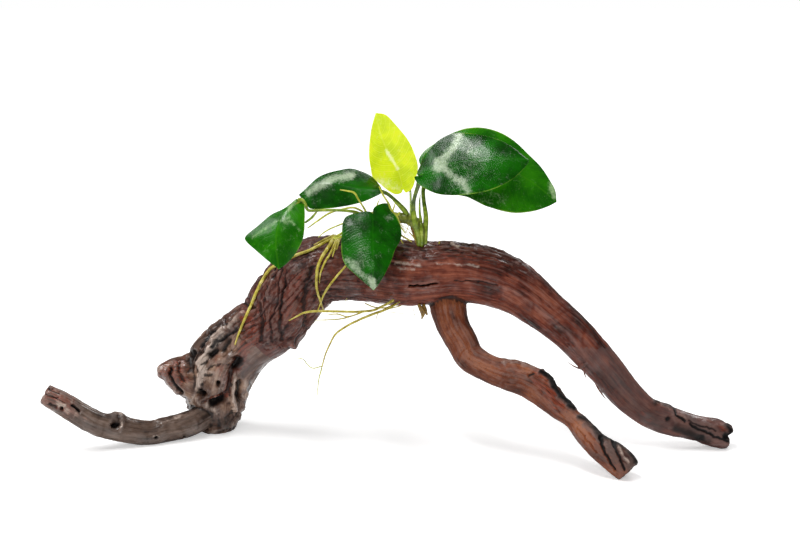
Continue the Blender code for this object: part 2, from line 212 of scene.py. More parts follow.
def new_finish(name):
    """An empty finish: the material, its bench and its shader."""
    finish = bpy.data.materials.new(name)
    finish.use_nodes = True
    return finish, Bench(finish.node_tree), finish.node_tree.nodes["Principled BSDF"]


# %% [markdown]
# ## Camera, light and floor
# The branch is shown against white, as in a light tent. A white world gives the soft fill, four
# area lamps give the leaves and the wet wood their sheen, and a large pale floor takes a faint
# shadow. The camera looks along the sheet's own direction, so the lens needs no shift.

# %% Camera
LENS = 85.0
SENSOR = 36.0


def placed(name, data):
    """A new object round some data, in the scene."""
    thing = bpy.data.objects.new(name, data)
    bpy.context.scene.collection.objects.link(thing)
    return thing


def place_camera():
    camera_data = bpy.data.cameras.new("view_camera")
    camera_data.lens = LENS
    camera_data.sensor_width = SENSOR
    camera_data.clip_start = 0.01
    camera_data.clip_end = 50.0
    camera = placed("view_camera", camera_data)
    camera.location = Vector((EYE + ORIGIN_SHIFT) * MM)
    camera.rotation_euler = (math.pi / 2 - VIEW_TILT, 0.0, 0.0)
    bpy.context.scene.camera = camera
    return camera


camera = place_camera()
print("camera stands at", tuple(camera.location))

# %% Lamps and world
WORLD_WHITE = 1.0
WORLD_FILL = 0.24
WORLD_SHEEN = 0.08
LAMPS = {
    # name: place, aim, both sides of its rectangle, power in watts, whether it shows in glossy skins
    "sky_strip": ((-0.26, -0.15, 1.10), (0.0, -0.04, 0.05), 0.90, 0.16, 8.5, True),
    "left_strip": ((-0.80, 0.0, 0.85), (0.0, 0.0, 0.10), 0.80, 0.20, 3.6, True),
    "front_panel": ((-0.25, -1.35, 0.75), (0.0, 0.0, 0.08), 0.50, 0.36, 6.0, False),
    "back_panel": ((0.45, 0.95, 0.80), (0.0, 0.0, 0.08), 0.60, 0.50, 4.5, True),
}


def light_tent():
    world = bpy.data.worlds.new("white_tent")
    world.use_nodes = True
    bench = Bench(world.node_tree)
    rays = bench.add("ShaderNodeLightPath", out=None).outputs
    fill = {"Value": rays["Is Glossy Ray"], "To Min": WORLD_FILL, "To Max": WORLD_SHEEN}
    glow = {"To Min": bench.add("ShaderNodeMapRange", fill), "To Max": WORLD_WHITE}
    glow["Value"] = rays["Is Camera Ray"]
    white = {"Color": (1.0, 1.0, 1.0, 1.0), "Strength": bench.add("ShaderNodeMapRange", glow)}
    bench.dress(world.node_tree.nodes["Background"], white)
    bpy.context.scene.world = world
    for name, (place, aim, first_side, second_side, power, glossy) in LAMPS.items():
        lamp = bpy.data.lights.new(name, "AREA")
        lamp.shape = "RECTANGLE"
        lamp.size = first_side
        lamp.size_y = second_side
        lamp.energy = power
        thing = placed(name, lamp)
        thing.location = place
        thing.rotation_euler = (Vector(place) - Vector(aim)).to_track_quat("Z", "Y").to_euler()
        thing.visible_glossy = glossy
    bpy.context.scene.view_settings.view_transform = "Standard"


light_tent()
print("lamps:", ", ".join(LAMPS))

# %% Floor
FLOOR_SIZE = 6.0
FLOOR_WHITE = (0.93, 0.93, 0.93, 1.0)
# metres from the middle where the floor's glow starts and ends its rise, and the glow at both
FLOOR_GLOW = {"From Min": 0.2, "From Max": 1.4, "To Min": 0.42, "To Max": 0.85}


def lay_floor():
    bpy.ops.mesh.primitive_plane_add(size=FLOOR_SIZE, location=(0.0, 0.0, 0.0))
    floor = bpy.context.object
    floor.name = "pale_floor"
    finish, bench, shader = new_finish("pale_floor_paint")
    seen_directly = bench.add("ShaderNodeLightPath", out="Is Camera Ray")
    place = {0: bench.add("ShaderNodeTexCoord", out="Object")}
    distance = bench.add("ShaderNodeVectorMath", place, "Value", operation="LENGTH")
    glow = bench.add("ShaderNodeMapRange", {"Value": distance, **FLOOR_GLOW})
    bench.dress(shader, {
        "Base Color": FLOOR_WHITE,
        "Roughness": 0.35,
        "Emission Color": (1.0, 1.0, 1.0, 1.0),
        "Emission Strength": bench.times(glow, seen_directly),
    })
    floor.data.materials.append(finish)
    return floor


floor = lay_floor()
print("floor laid:", floor.name)

# %% [markdown]
# ## Curves through stations
# A branch bends and swells without a rule, so its run is a short list of stations: a point on
# the sheet, its depth, and two half widths. A Catmull-Rom curve goes through every station and
# makes as many sections between them as a step needs.

# %% Runs and their sections


def smooth_run(stations, steps):
    """A smooth curve through every station, as rows, with steps rows to each span."""
    stations = np.asarray(stations, float)
    padded = np.vstack((stations[:1], stations, stations[-1:]))
    t = (np.arange(steps) / steps)[:, None]
    spans = []
    for a, b, c, d in zip(padded, padded[1:], padded[2:], padded[3:]):
        line = 2 * b + (c - a) * t + (2 * a - 5 * b + 4 * c - d) * t ** 2
        spans.append(0.5 * (line + (3 * b - a - 3 * c + d) * t ** 3))
    return np.vstack(spans + [stations[-1:]])


def unit(vectors):
    return vectors / np.maximum(np.linalg.norm(vectors, axis=-1, keepdims=True), 1e-9)


def length_so_far(places):
    """Distance along a line through places, from its first one."""
    return np.concatenate(([0.0], np.cumsum(np.linalg.norm(np.diff(places, axis=0), axis=1))))


def sections(stations, steps):
    """Centres, axes, half widths and length so far of the sections along a limb, in millimetres."""
    run = smooth_run(stations, steps)
    centre, scale = seen(run[:, :3])
    heading = unit(np.gradient(centre, axis=0))
    side = unit(np.cross(VIEW_AXIS, heading))
    return SimpleNamespace(
        centre=centre,
        heading=heading,
        side=side,
        deep=np.cross(heading, side),
        wide=run[:, 3] * scale,
        thick=run[:, -1] * scale,
        length=length_so_far(centre),
        station=np.arange(len(run)) / steps,
    )


# %% [markdown]
# ## The driftwood
# The real branch is one piece of root wood: a knot with a foot on the left, an arch, and two
# legs on the right. It could be grown with a skin modifier or sculpted by hand. Here each limb
# is a tube through its stations, and a voxel remesh melts the tubes into one skin, because that
# gives soft forks with no seams. The solids use the same tables, so the skin stays on them.

# %% Stations of the wood
# across, up, back, half width in the view, half depth
SPINE = [
    (-83.5, -4, 30, 7, 9), (-83, 6, 30, 8.5, 11), (-83.5, 14, 29, 11, 13), (-84, 22, 27, 14.4, 14.5),
    (-83, 33, 24, 17, 15.5), (-78.5, 44, 21, 17.8, 16), (-68.5, 54, 18, 16, 16),
    (-56.5, 62.5, 15, 16.3, 16), (-46, 77, 12, 17.2, 16), (-34.5, 87.5, 9, 16.5, 15.5),
    (-19.5, 89.5, 7, 15.5, 15), (-6, 89, 6, 16.2, 15.5), (9, 87, 5, 16.2, 15.5), (22, 87, 4, 15.8, 15),
    (35.5, 87.5, 4, 15, 14), (48, 86, 3, 14.5, 13.5), (58, 83, 3, 14, 13), (68, 78, 2, 12.8, 12),
    (81.5, 67.5, 2, 10.8, 11), (93, 58, 1, 10, 10.5), (103, 47.5, 0, 9.5, 10),
    (112, 37.5, -1, 8.8, 9.5), (121, 26.5, -2, 8.2, 9), (131.5, 17.5, -3, 7.2, 8),
    (141.5, 13.5, -4, 7.4, 8), (154, 10, -5, 6.5, 8), (166, 6.8, -6, 7, 8), (172.5, 5, -6.5, 5.4, 6),
]
FRONT_LEG = [
    (31.5, 81, 4, 8.5, 8), (32, 71, 1, 9.2, 9), (34.5, 61, -3, 8.3, 8.5), (39, 52.5, -8, 7.8, 8),
    (43, 45, -12, 7.4, 8), (51, 40, -17, 7, 7.5), (60, 36.5, -22, 7.5, 8), (70, 33.5, -27, 8, 8),
    (78, 28.5, -31, 7.7, 8), (86.5, 20.5, -36, 6, 7), (95, 13.5, -41, 4.7, 6), (100, 7, -45, 5.4, 6.5),
    (107, 0, -49, 6, 7), (116, -6.5, -53, 7, 7.5), (122, -12, -56, 6.3, 6.5),
]
LEFT_LIMB = [
    (-82, 21, 24, 5, 5.5), (-95.5, 12.5, 12, 6.5, 7), (-110.5, 8.5, 4, 6.2, 7), (-118.5, 7, 0, 6, 6.5),
    (-131.5, 9, -4, 6.5, 6.5), (-142.5, 11.5, -8, 6.2, 6.5), (-152, 16.5, -11, 6, 6),
    (-160, 21.5, -13, 5.8, 6), (-169.5, 26.5, -15, 5.2, 5.5),
]
KNOT_STUB = [
    (-84, 35.5, 25, 9, 9), (-95, 35.5, 21.5, 12.5, 11), (-101, 36.5, 19.5, 10, 9.5),
    (-107, 37.5, 17.5, 6.5, 7), (-113.2, 37.5, 16, 2.6, 3.2),
]
STATION_STEPS = 10
LIMBS = {"spine": SPINE, "front_leg": FRONT_LEG, "left_limb": LEFT_LIMB, "knot_stub": KNOT_STUB}
LIMBS = {name: sections(stations, STATION_STEPS) for name, stations in LIMBS.items()}
for limb_name, limb in LIMBS.items():
    print(limb_name, "is", round(limb.length[-1], 1), "mm long")

# %% Melt the limbs into one skin
VOXEL = 0.5
EASE_STEPS = 12
LIMB_SIDES = 40


def ring_strip(rings, sides):
    """Faces between rings of a tube, and one face to close each end."""
    rows = np.arange(rings * sides).reshape(rings, sides)
    turned = np.roll(rows, -1, axis=1)
    quads = np.stack((rows[:-1], turned[:-1], turned[1:], rows[1:]), axis=-1).reshape(-1, 4)
    return quads.tolist() + [rows[0][::-1].tolist(), rows[-1].tolist()]


def limb_tube(limb):
    angle = np.arange(LIMB_SIDES) * math.tau / LIMB_SIDES
    flat = limb.side[:, None] * (limb.wide[:, None] * np.cos(angle))[..., None]
    deep = limb.deep[:, None] * (limb.thick[:, None] * np.sin(angle))[..., None]
    return (limb.centre[:, None] + flat + deep).reshape(-1, 3), ring_strip(len(limb.centre), LIMB_SIDES)


def limbs_in_one_mesh():
    places = []
    faces = []
    for limb in LIMBS.values():
        start = sum(len(block) for block in places)
        tube, skin = limb_tube(limb)
        places.append(tube)
        faces += [[start + corner for corner in face] for face in skin]
    mesh = bpy.data.meshes.new("limbs")
    mesh.from_pydata(np.vstack(places).tolist(), [], faces)
    bm = bmesh.new()
    bm.from_mesh(mesh)
    bmesh.ops.recalc_face_normals(bm, faces=bm.faces[:])
    bm.to_mesh(mesh)
    bm.free()
    return mesh


def melted_skin():
    """One smooth skin round all the limbs, in millimetres, cut flat where it stands."""
    thing = placed("limbs", limbs_in_one_mesh())
    melt = thing.modifiers.new("melt", "REMESH")
    melt.mode = "VOXEL"
    melt.voxel_size = VOXEL
    ease = thing.modifiers.new("ease", "SMOOTH")
    ease.factor = 0.5
    ease.iterations = EASE_STEPS
    bpy.context.view_layer.update()
    scene_now = bpy.context.evaluated_depsgraph_get()
    melted = bpy.data.meshes.new_from_object(thing.evaluated_get(scene_now))
    bpy.data.objects.remove(thing, do_unlink=True)
    bm = bmesh.new()
    bm.from_mesh(melted)
    whole = bm.verts[:] + bm.edges[:] + bm.faces[:]
    floor_level = {"plane_co": (0, 0, 0), "plane_no": (0, 0, 1)}
    bmesh.ops.bisect_plane(bm, geom=whole, dist=1e-4, clear_inner=True, **floor_level)
    bmesh.ops.holes_fill(bm, edges=[edge for edge in bm.edges if edge.is_boundary])
    bmesh.ops.triangulate(bm, faces=[face for face in bm.faces if len(face.verts) > 4])
    bmesh.ops.recalc_face_normals(bm, faces=bm.faces[:])
    bm.to_mesh(melted)
    bm.free()
    return melted


skin_mesh = melted_skin()
print("wood skin:", len(skin_mesh.vertices), "points,", len(skin_mesh.polygons), "faces")

# %% Read a mesh into arrays


def read_off(items, key, width, kind=np.float32):
    """One property of all the items of a mesh, as rows."""
    rows = np.empty(len(items) * width, kind)
    items.foreach_get(key, rows)
    return rows.reshape(-1, width)


def mesh_arrays(mesh):
    """Places, triangles and outward directions of a mesh, as arrays."""
    mesh.calc_loop_triangles()
    places = read_off(mesh.vertices, "co", 3).astype(float)
    corners = read_off(mesh.loop_triangles, "vertices", 3, np.int32)
    return places, corners, read_off(mesh.vertex_normals, "vector", 3).astype(float)


skin_places, skin_faces, skin_outward = mesh_arrays(skin_mesh)
print("triangles:", len(skin_faces))

# %% [markdown]
# ## Grain
# Wood is ordered along its length, so every mark needs to know how far along a limb it is and
# where round the core. For each point of the skin the nearest section is found, and the point
# is written in that section's axes. Noise that is stretched along the first of these numbers
# looks like grain on any bend of the branch.

# %% Grain coordinates
BLOCKS = 24
END_SLACK = 2.0


def along_limb(limb, places):
    """Length along the limb, offsets in the picture and in depth, nearness (1 on its skin), station."""
    half_square = (limb.centre ** 2).sum(1) / 2
    nearest = np.concatenate([
        np.argmin(half_square - block @ limb.centre.T, axis=1) for block in np.array_split(places, BLOCKS)
    ])
    offset = places - limb.centre[nearest]
    ahead = (offset * limb.heading[nearest]).sum(1)
    across = (offset * limb.side[nearest]).sum(1)
    deep = (offset * limb.deep[nearest]).sum(1)
    wide, thick = limb.wide[nearest], limb.thick[nearest]
    at_an_end = (nearest == 0) | (nearest == len(limb.centre) - 1)
    beyond = np.maximum(np.abs(ahead) - END_SLACK, 0.0) * at_an_end
    near = np.sqrt((across / wide) ** 2 + (deep / thick) ** 2 + (beyond / wide) ** 2)
    return SimpleNamespace(
        grain=np.stack((limb.length[nearest] + ahead, across, deep), axis=1),
        near=near,
        station=limb.station[nearest],
        round=np.stack((across / wide, deep / thick), axis=1),
    )


on_limb = {name: along_limb(limb, skin_places) for name, limb in LIMBS.items()}
FORK_SOFTNESS = 9.0
nearness = np.stack([on_limb[name].near for name in LIMBS], axis=1)
share = np.exp(-(nearness - nearness.min(1, keepdims=True)) * FORK_SOFTNESS)
share /= share.sum(1, keepdims=True)
share = dict(zip(LIMBS, share.T))
print("skin shared out:", {name: round(float(part.sum() / len(part)), 2) for name, part in share.items()})

# %% Noise in arrays
DIRECTIONS = unit(np.array([
    step for step in itertools.product((-1, 0, 1), repeat=3) if sum(map(abs, step)) == 2
], float))
CELL_PRIMES = (73856093, 19349663, 83492791)
SEED_PRIME = 2654435761
MIXER = 1274126177
NOISE_GAIN = 1.6


def noise(points, seed=0):
    """Smooth noise from about -1 to 1, with cells one unit wide."""
    cell = np.floor(points).astype(np.int64)
    inside = points - cell
    ease = inside ** 3 * (inside * (inside * 6 - 15) + 10)
    total = np.zeros(len(points))
    for corner in itertools.product((0, 1), repeat=3):
        x, y, z = (cell + corner).T * np.array(CELL_PRIMES)[:, None]
        pick = x ^ y ^ z ^ (seed * SEED_PRIME)
        pick = ((pick ^ (pick >> 13)) * MIXER) & 0xFFFFFFFF
        slope = DIRECTIONS[(pick >> 7) % len(DIRECTIONS)]
        weight = np.prod(np.where(corner, ease, 1.0 - ease), axis=1)
        total += weight * ((inside - corner) * slope).sum(1)
    return total * NOISE_GAIN


def layered(points, layers, seed=0):
    """Noise of several sizes, each half as large and half as strong as the one before."""
    return sum(noise(points * 2 ** k, seed + k) / 2 ** k for k in range(layers))


def ramp(value, low, high):
    """0 below low, 1 above high, eased between."""
    t = np.clip((value - low) / (high - low), 0.0, 1.0)
    return t * t * (3.0 - 2.0 * t)


noise_sample = noise(skin_places[:5000] * 0.1)
print("noise spans", noise_sample.min().round(2), "to", noise_sample.max().round(2))

# %% [markdown]
# ## Relief of the wood
# Three habits of weathered root wood make its relief: flutes that run with the grain, rough bark
# where some is left, and swollen folds in the knot. Each is a noise, and a table says how deep
# it is at each station of the spine. Displacing the mesh, and not only a bump in the finish,
# keeps the outline ragged as on the real branch.

# %% How deep the relief is
# station, depth of flutes, roughness, folds, all in millimetres
SPINE_RELIEF = np.array([
    (0, 0.4, 0.25, 0.8),
    (3, 0.4, 0.22, 0.9),
    (5, 0.5, 0.24, 0.9),
    (6.3, 0.7, 0.26, 0.7),
    (7.5, 0.40, 0.34, 0.9),
    (9.5, 0.38, 0.32, 0.8),
    (11, 0.40, 0.18, 0.35),
    (14, 0.30, 0.08, 0.2),
    (19, 0.26, 0.08, 0.2),
    (23, 0.32, 0.12, 0.3),
    (27, 0.50, 0.30, 0.9),
])
LIMB_RELIEF = {
    "front_leg": (0.22, 0.10, 0.25),
    "left_limb": (0.22, 0.08, 0.30),
    "knot_stub": (0.30, 0.14, 0.5),
}
GROOVE_SHARPNESS = 0.13


def flutes(grain, seed):
    """Rounded strips along the grain with sharp grooves between them, from about -1 to 0.5."""
    sway = np.stack([noise(grain / (40.0, 12.0, 12.0), seed + k) for k in (1, 2)], axis=1) * 2.4
    bent = grain.copy()
    bent[:, 1:] += sway
    strips = noise(bent / (120.0, 3.8, 3.8), seed + 3)
    ribs = noise(bent / (70.0, 1.5, 1.5), seed + 4)
    cleft = ramp(noise(bent / (34.0, 6.0, 6.0), seed + 5), -0.4, 0.4)
    return 0.45 * strips - cleft * np.exp(-(strips / GROOVE_SHARPNESS) ** 2) + 0.2 * ribs


def rough_bark(grain, seed):
    return layered(grain / (3.6, 2.0, 2.0), 3, seed)


def folds(places, seed):
    """Swollen folds with pinched valleys, for the knot."""
    warp = np.stack([noise(places / 15.0, seed + k) for k in range(3)], axis=1)
    ridged = np.abs(noise(places / 12.0 + warp * 0.9, seed + 5))
    return 1.8 * np.minimum(ridged, 0.5) - 0.45 + 0.25 * layered(places / 6.0 + warp, 2, seed + 7)


def limb_relief(name):
    """Height of one limb's own relief over the whole skin, in millimetres."""
    spot = on_limb[name]
    if name == "spine":
        station, *depths = SPINE_RELIEF.T
        flute, rough, fold = (np.interp(spot.station, station, depth) for depth in depths)
    else:
        flute, rough, fold = LIMB_RELIEF[name]
    seed = 11 * list(LIMBS).index(name)
    return (
        flute * flutes(spot.grain, seed)
        + rough * rough_bark(spot.grain, seed + 20)
        + fold * folds(skin_places, seed + 30)
        + 0.10 * noise(spot.grain / (16.0, 0.9, 0.9), seed + 40)
    )


height = sum(share[name] * limb_relief(name) for name in LIMBS)
print("relief from", height.min().round(2), "to", height.max().round(2), "mm")

# %% [markdown]
# ## Marks drawn one by one
# A noise knows nothing of the one crack under the plant or of the holes in the knot. Those are
# drawn like strokes of a carving tool on the sheet: a line through points, how wide it is, how
# far it cuts in or stands out, and a stain for the finish. Two stains also paint light: soot in
# the holes and cracks paints their shade, and bone paints glints on a few crests. A stroke works
# on the front or the back of the skin, or all round where it runs along an edge.

# %% Strokes on the skin
sheet_across, sheet_up = on_sheet(skin_places)
towards_viewer = -(skin_outward @ VIEW_AXIS)
SIDES_OF_SKIN = {
    "front": ramp(towards_viewer, -0.15, 0.25),
    "back": ramp(-towards_viewer, -0.15, 0.25),
    "round": np.ones(len(skin_places)),
}
# soot is a dark stain and, in holes and cracks, painted shade; bone is pale wood and, on a few crests, a
# painted glint
STAINS = ("soot", "bone", "rust", "ash", "bark")
stain = {name: np.zeros(len(skin_places)) for name in STAINS}
unsteady_across = sheet_across + 0.7 * noise(skin_places / 3.5, 91) + 0.3 * noise(skin_places / 1.4, 93)
unsteady_up = sheet_up + 0.7 * noise(skin_places / 3.5, 92) + 0.3 * noise(skin_places / 1.4, 94)


def gap_to_line(points, across, up):
    """Distance on the sheet from each point of the skin to a line through points."""
    points = np.asarray(points, float)
    if len(points) == 1:
        points = np.vstack((points, points + 1e-3))
    nearest = np.full(len(across), 1e9)
    for start, end in zip(points, points[1:]):
        span = end - start
        beside, above = across - start[0], up - start[1]
        t = np.clip((beside * span[0] + above * span[1]) / (span @ span), 0.0, 1.0)
        nearest = np.minimum(nearest, np.hypot(beside - t * span[0], above - t * span[1]))
    return nearest


def stroke(points, width, side, limbs):
    """How strongly a stroke touches each point of the skin, from 0 to 1."""
    touch = np.exp(-(gap_to_line(points, unsteady_across, unsteady_up) / width) ** 2)
    return touch * SIDES_OF_SKIN[side] * sum(share[name] for name in limbs)


# %% How a stroke is carved


def carve(*limbs, **sides):
    """Cut strokes, listed by side of the skin, into its height and stain it.

    A stroke is its points (across, up), its half width, how far it stands out, and its stains
    with their strength, or one number where the only stain is soot. Soot in holes and cracks is
    painted shade, and bone on a few crests is a painted glint.
    """
    cut = np.zeros(len(skin_places))
    for side, strokes in sides.items():
        for points, width, tall, tints in strokes:
            touch = stroke(points, width, side, limbs)
            cut += touch * tall
            tints = tints if isinstance(tints, dict) else {"soot": tints}
            for name, strength in tints.items():
                stain[name] += touch * strength
        print(len(strokes), "strokes on", ", ".join(limbs), side)
    return cut


# %% Folds, holes and cracks of the knot
height += carve("spine", front=[
    ([(-84, 53), (-88, 47), (-91, 42), (-90, 38), (-93, 31), (-96, 23)], 1.5, 2.6, {"bone": 1.1}),
    ([(-80, 58), (-84, 53)], 1.5, 1.6, {"bone": 0.5}),
    ([(-97, 25), (-90, 20.5), (-84, 18.5)], 2, 1.2, {"bone": 0.4}),
    ([(-90, 40), (-86, 34), (-82, 30)], 5.5, 1.2, {"bone": 0.32}),
    ([(-92.5, 27.6), (-90.6, 26.4)], 1.5, -4.5, 1.3),
    ([(-83.2, 32.2)], 1.2, -2.6, 1.2),
    ([(-86.4, 21.2), (-84, 21.8), (-81.6, 22.8)], 1.9, -4.6, 1.2),
    ([(-90, 22.6), (-86, 24.6), (-80, 26.4)], 1, -1, {"rust": 0.7}),
    ([(-80, 25), (-76.5, 29), (-76, 35)], 1.9, -2.2, {"rust": 0.8, "soot": 0.35}),
    ([(-75.5, 39.5), (-73, 42.5)], 2.8, -3.2, {"rust": 0.6, "soot": 0.75}),
    ([(-69, 53.5), (-70.5, 46), (-73, 40)], 3.4, -0.6, {"rust": 0.9, "soot": 0.3}),
    ([(-98, 47), (-92, 53), (-86, 57.5)], 2.4, 0.4, 0.6),
    ([(-92, 9), (-82, 9), (-73, 14)], 7, 0, 0.5),
    ([(-84, 44), (-80, 38), (-79, 31)], 3.4, -0.5, {"rust": 0.45, "soot": 0.25}),
    ([(-98, 44), (-99, 36), (-98, 28)], 2.6, 0, 0.3),
    ([(-74.5, 35), (-75.6, 27), (-74.8, 19)], 1, 2, {"bone": 0.7}),
    ([(-72, 32), (-72.6, 24)], 1.3, -2.2, 0.8),
    ([(-68.5, 33), (-70, 24), (-71, 17), (-77, 11), (-87, 7.5)], 1.2, 1.3, {"bone": 0.35}),
    ([(-95, 47), (-97, 40), (-101.5, 30), (-99, 21)], 1.3, -2, 0.9),
    ([(-99, 33), (-97, 27), (-98.5, 20)], 1.6, 0.9, {"rust": 0.5, "bone": 0.25}),
    ([(-86.5, 46), (-84.5, 48)], 1.6, -1.8, 0.9),
    ([(-89, 36.5), (-86, 36)], 1, -1.2, 0.7),
    ([(-82, 43), (-74.5, 46.5)], 1.3, 1.5, {"bone": 0.35}),
    ([(-78, 53), (-80.5, 48.5)], 1.9, -2.2, 0.8),
    ([(-88.5, 52), (-83, 57), (-75.5, 62), (-69, 67)], 1.3, 1.5, {"bone": 0.42}),
    ([(-91, 50), (-85.5, 56.5), (-78, 61)], 0.8, -1.2, 0.7),
    ([(-86, 50), (-80, 55), (-74, 59)], 0.9, -1.4, 0.8),
    ([(-100, 43.5), (-95.5, 52.5)], 2, 1.1, {"rust": 0.4}),
], back=[
    ([(-88, 46), (-84, 38), (-86, 30)], 1.8, 1.8, {"bone": 0.8}),
    ([(-80, 34), (-77, 28)], 2.6, -3.6, 1),
    ([(-92, 24)], 1.7, -3, 1),
    ([(-74, 48), (-70, 40), (-73, 30)], 1.1, -1.8, {"soot": 0.8, "rust": 0.3}),
])

# %% The broken stub
height += carve("knot_stub", "spine", front=[
    ([(-106.5, 40.5), (-107.2, 36), (-104.2, 30), (-101, 27)], 0.9, -2, 0.9),
    ([(-109, 38), (-107.5, 32), (-103, 27.5)], 1.5, 1.1, {"rust": 0.35, "bone": 0.35}),
    ([(-104, 41.5), (-104.4, 37), (-102, 32)], 0.8, 0.9, {"rust": 0.7}),
    ([(-102, 42), (-102.6, 38), (-100, 33)], 0.7, -0.9, 0.6),
], round=[
    ([(-113, 37.5), (-104, 37)], 7.5, 0, {"rust": 0.75}),
    ([(-113.4, 38.5), (-111, 40.5)], 2, 0.3, {"bone": 0.45}),
])

# %% The left limb
height += carve("left_limb", front=[
    ([(-134.5, 10.5), (-133, 12)], 1.5, -3, 1.2),
    ([(-132.3, 8), (-131, 12), (-131.6, 15)], 0.9, 0.9, {"bone": 0.35}),
    ([(-130.5, 17.2), (-126, 14.2)], 0.7, -0.7, 0.7),
    ([(-155.4, 20.7), (-152.2, 18.2)], 0.9, -1.8, 1.1),
    ([(-161.2, 19.3)], 1.1, -1.9, 1.1),
    ([(-162.8, 20.7), (-160, 21)], 0.9, 0.7, {"bone": 0.6}),
    ([(-167.3, 21.3), (-164.4, 19.6)], 0.8, -1, 0.8),
    ([(-140, 8), (-120, 4), (-104, 7)], 3, 0, 0.35),
    ([(-168, 29.3), (-162, 27)], 0.6, -0.9, 0.5),
    ([(-170, 26.3), (-163, 24.4)], 0.6, -0.8, 0.4),
    ([(-172, 25), (-169, 28.6), (-165, 29.4)], 0.5, -0.5, {"soot": 0.5, "rust": 0.4}),
    ([(-158, 18), (-150, 12)], 3, 0, {"rust": 0.25, "bone": 0.15}),
    ([(-113.8, 4.7)], 0.9, -1.6, 1),
    ([(-115.2, 5.4), (-112.6, 5.6)], 0.6, 0.5, {"bone": 0.7}),
    ([(-99.8, 5.1)], 0.8, -0.9, 0.7),
    ([(-121, 15.5), (-112, 14), (-104, 16.6), (-98, 18)], 0.8, -0.9, 0.7),
    ([(-120, 13.7), (-111, 12.4), (-102, 15)], 0.8, 0.5, {"bone": 0.25}),
], round=[
    ([(-134.5, 16.4), (-131, 15.8)], 2.4, 1.7, {}),
    ([(-171, 27.5), (-166, 24), (-160, 22)], 6, 0, {"bone": 0.30, "rust": 0.85}),
    ([(-172.4, 27.6), (-170.6, 27)], 0.7, -0.8, 0.4),
], back=[
    ([(-125, 10)], 1.6, -2.2, 1),
    ([(-150, 16), (-141, 12), (-130, 10.5)], 0.7, -0.8, 0.6),
])

# %% The arch
height += carve("spine", front=[
    ([(12.5, 80), (18, 80.4), (26, 81.6)], 0.5, -2.2, 1.3),
    # painted highlight: pale streaks along the glossy band on top of the arch
    ([(27, 91.6), (36, 91.4), (47, 90.6)], 0.9, 0.3, {"bone": 0.42}),
    ([(6, 92), (12, 91.6), (18, 90.2)], 1.1, 0.35, {"bone": 0.55}),
    ([(7, 89.4), (15, 88.8)], 0.8, 0.25, {"bone": 0.4}),
    ([(6, 94.6), (20, 95)], 1.3, -0.5, 0.5),
    ([(35.5, 83), (48, 82.8), (57, 81)], 0.45, -0.5, 0.8),
    ([(40, 77), (52, 75), (66, 69)], 2.4, 0, {"rust": 0.45}),
    ([(30, 95.5), (45, 95.5), (58, 92)], 3, 0, {"rust": 0.55, "bark": 0.5}),
    ([(-10, 76), (4, 77)], 7, 0, {"rust": 0.45}),
    ([(-69, 65), (-65, 58), (-66, 53)], 3, 0.9, {"rust": 0.9}),
    ([(-62, 72), (-61, 60), (-62, 53)], 1.1, -1, 0.65),
    ([(-57, 92), (-62, 82), (-64, 74)], 1, -0.9, 0.6),
    ([(-62, 68), (-58, 58)], 2, -0.4, {"rust": 0.4}),
    ([(-50, 92), (-52.5, 82), (-53, 72), (-57, 62), (-56, 53)], 0.5, -0.7, 0.55),
    ([(-53, 92), (-56, 80), (-57.5, 70), (-60, 60)], 0.4, -0.4, 0.4),
    ([(-48, 88), (-50.5, 76), (-52, 64)], 0.4, -0.4, 0.3),
    ([(-58, 80), (-60, 70), (-59, 62)], 0.4, -0.5, 0.4),
    ([(-55.5, 88), (-57, 76), (-58.5, 64)], 1.1, 0.7, {"ash": 0.5}),
    ([(-42, 86), (-45, 76), (-47, 66)], 4, 2, {"rust": 0.62}),
    ([(-36, 90), (-39, 80), (-40, 70), (-39, 60)], 1.4, -1, 0.5),
    ([(-49, 84), (-51, 74), (-52, 62), (-51, 54)], 1, -0.9, 0.55),
], round=[
    # painted glint on the small flake at the top of the arch
    ([(33.8, 101.6), (36.6, 100)], 1, 0.8, {"bone": 0.7}),
    ([(45, 101), (56, 98.5), (68, 92)], 1, 0.5, {}),
    ([(-61.5, 95), (-66.5, 85), (-69.3, 76.5)], 1.8, 1.5, {"bark": 1, "soot": 0.45}),
    ([(-69.2, 71.6), (-66, 69.6)], 1, -1.3, 0.7),
    ([(-46.4, 52)], 2, 3, {"bark": 0.8, "rust": 0.5}),
], back=[
    ([(-30, 92), (-12, 93), (6, 90)], 0.6, -1.5, 1.1),
    ([(22, 84)], 2.6, -1.6, 0.9),
    ([(19, 84), (22, 87.5), (25.5, 84), (22, 80.5), (19, 84)], 1.1, 1.2, {"bone": 0.3}),
    ([(40, 90), (60, 84), (72, 77)], 0.6, -1, 0.8),
])

